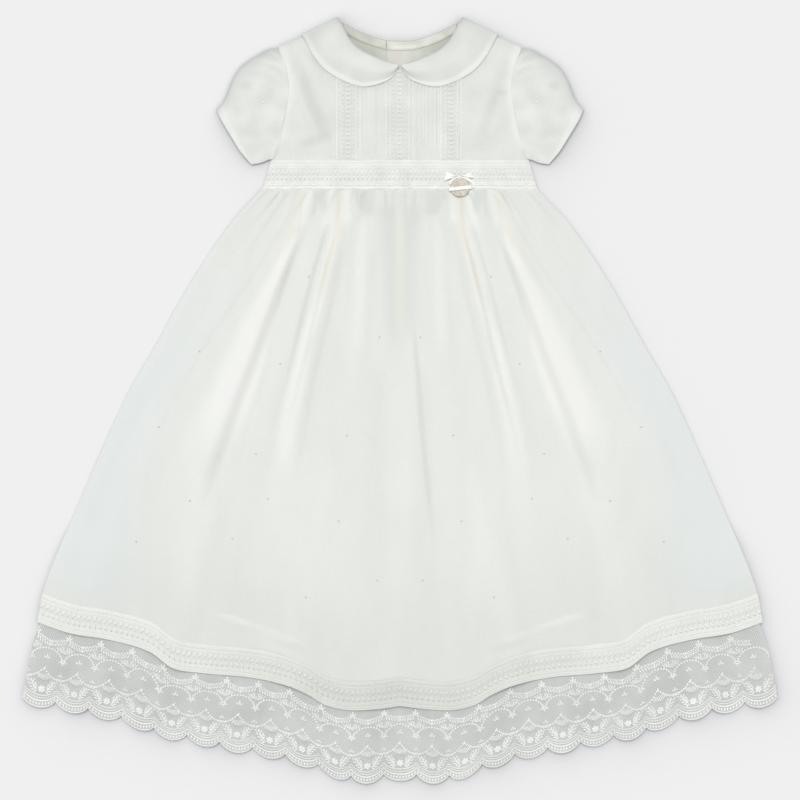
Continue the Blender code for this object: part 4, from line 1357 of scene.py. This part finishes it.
def bow():
    """Two loops, a knot, and the ribbon's end that goes round the upper edge of the charm."""
    rest = LINED + FRONT_WALL + 1.0
    for name, corners in BOW_LOOPS:

        def place(across, along, corners=corners):
            top_in, top_out, low_in, low_out = (Vector(corner) for corner in corners)
            upper, lower = mix(top_in, top_out, across), mix(low_in, low_out, across)
            x, y = mix(lower, upper, along)
            crown = 0.8 * math.sin(math.pi * across) * math.sin(math.pi * along)
            pleat = 0.25 * math.sin(3 * math.pi * along) * (0.4 + across)
            return x, y, rest + 0.5 + crown + pleat

        cloth(f"{name}_satin", (20, 14), place, (14, 10), SATIN, "satin", [name], 0.4)
    bm = bmesh.new()
    stitch(bm, *BOW_KNOT, 5.4, 3.8, 1.4, rest + 1.2, 1.2)
    finished("bow_knot", in_metres(bm), SATIN)

    def ribbon_end(across, along):
        centre = round_curve(RIBBON_END, across)
        before, after = (round_curve(RIBBON_END, across + step) for step in (-0.02, 0.02))
        way = (after - before).normalized()
        wide = mix(3.4, 2.2, across) * (along - 0.5)
        lifted = 0.5 * math.sin(3.0 * math.pi * across) * along
        return centre.x - way.y * wide, centre.y + way.x * wide, rest + 0.7 + lifted

    cloth("bow_ribbon_end", (30, 4), ribbon_end, (32, 3), SATIN, "satin", [], 0.3)


# Light, surface and camera


def studio():
    world = bpy.data.worlds.new("studio")
    world.use_nodes = True
    sky = world.node_tree.nodes["Background"]
    sky.inputs["Color"].default_value = SKY_COLOUR
    sky.inputs["Strength"].default_value = SKY_STRENGTH
    bpy.context.scene.world = world
    bpy.context.scene.view_settings.view_transform = "Standard"
    lamp = bpy.data.lights.new("softbox", "SUN")
    lamp.energy = LAMP_STRENGTH
    lamp.angle = LAMP_WIDTH
    holder = bpy.data.objects.new("softbox", lamp)
    holder.rotation_euler = Vector(LAMP_SHINES).to_track_quat("-Z", "Y").to_euler()
    bpy.context.scene.collection.objects.link(holder)

    bm = bmesh.new()
    bmesh.ops.create_grid(bm, x_segments=1, y_segments=1, size=TABLE_HALF)
    bmesh.ops.translate(bm, verts=bm.verts[:], vec=(0.0, 0.0, -TABLE_BELOW))
    mesh = bpy.data.meshes.new("table")
    bm.to_mesh(mesh)
    bm.free()
    table = bpy.data.objects.new("table", mesh)
    material, tree, shader = shaded("pale table", 0.9, Specular_IOR_Level=0.1)
    leaning = node(tree, "CombineXYZ", dict(zip("XYZ", SHADE_LEANS)))
    inputs = {"Distance": SHADE_REACH, "Normal": leaning.outputs[0]}
    near = node(tree, "AmbientOcclusion", inputs, samples=24).outputs["AO"]
    wide = maths(tree, "POWER", maths(tree, "SUBTRACT", 1.0, near), 0.35)
    shade = blended(tree, ranged(tree, wide, 0.2, 1.0), TABLE_COLOUR, SHADED_TABLE)
    tree.links.new(shade, shader.inputs["Base Color"])
    mesh.materials.append(material)
    bpy.context.scene.collection.objects.link(table)

    camera = bpy.data.objects.new("camera", bpy.data.cameras.new("camera"))
    camera.data.lens = camera.data.sensor_width * CAMERA_HEIGHT / (PHOTO_SPAN * MM)
    camera.location = (0.0, CAMERA_UP, CAMERA_HEIGHT)
    bpy.context.scene.collection.objects.link(camera)
    bpy.context.scene.camera = camera


def build():
    studio()
    overskirt, back_skirt = skirts()
    dots = swiss_dots()
    front_lining, back_lining = lining("lining_front", 2), lining("lining_back", 1)
    ruffle_front, ruffle_back = ruffle("ruffle_front", 1), ruffle("ruffle_back", 0)
    hem_front, hem_back = hem_bands()
    waist_front, waist_back = waistbands()
    bodice = front_bodice()
    strips = [lace_strip(*strip) for strip in LACE_STRIPS]
    back_left, back_right = back_half("bodice_back_left", -1), back_half("bodice_back_right", 1)
    binding_left, binding_right = (neck_binding(*binding) for binding in NECK_BINDINGS)
    hands = (("left", -1), ("right", 1))
    collars = [collar(f"collar_{side}", hand) for side, hand in hands]
    sleeves = [sleeve(f"sleeve_{side}", hand) for side, hand in hands]
    bow()
    for name, material in (
        ("charm_disc", CHARM), ("ribbon_bar", SATIN), ("button_1", PEARL), ("button_2", PEARL),
        ("button_3", PEARL),
    ):
        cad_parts[name].material_slots[0].material = material


build()
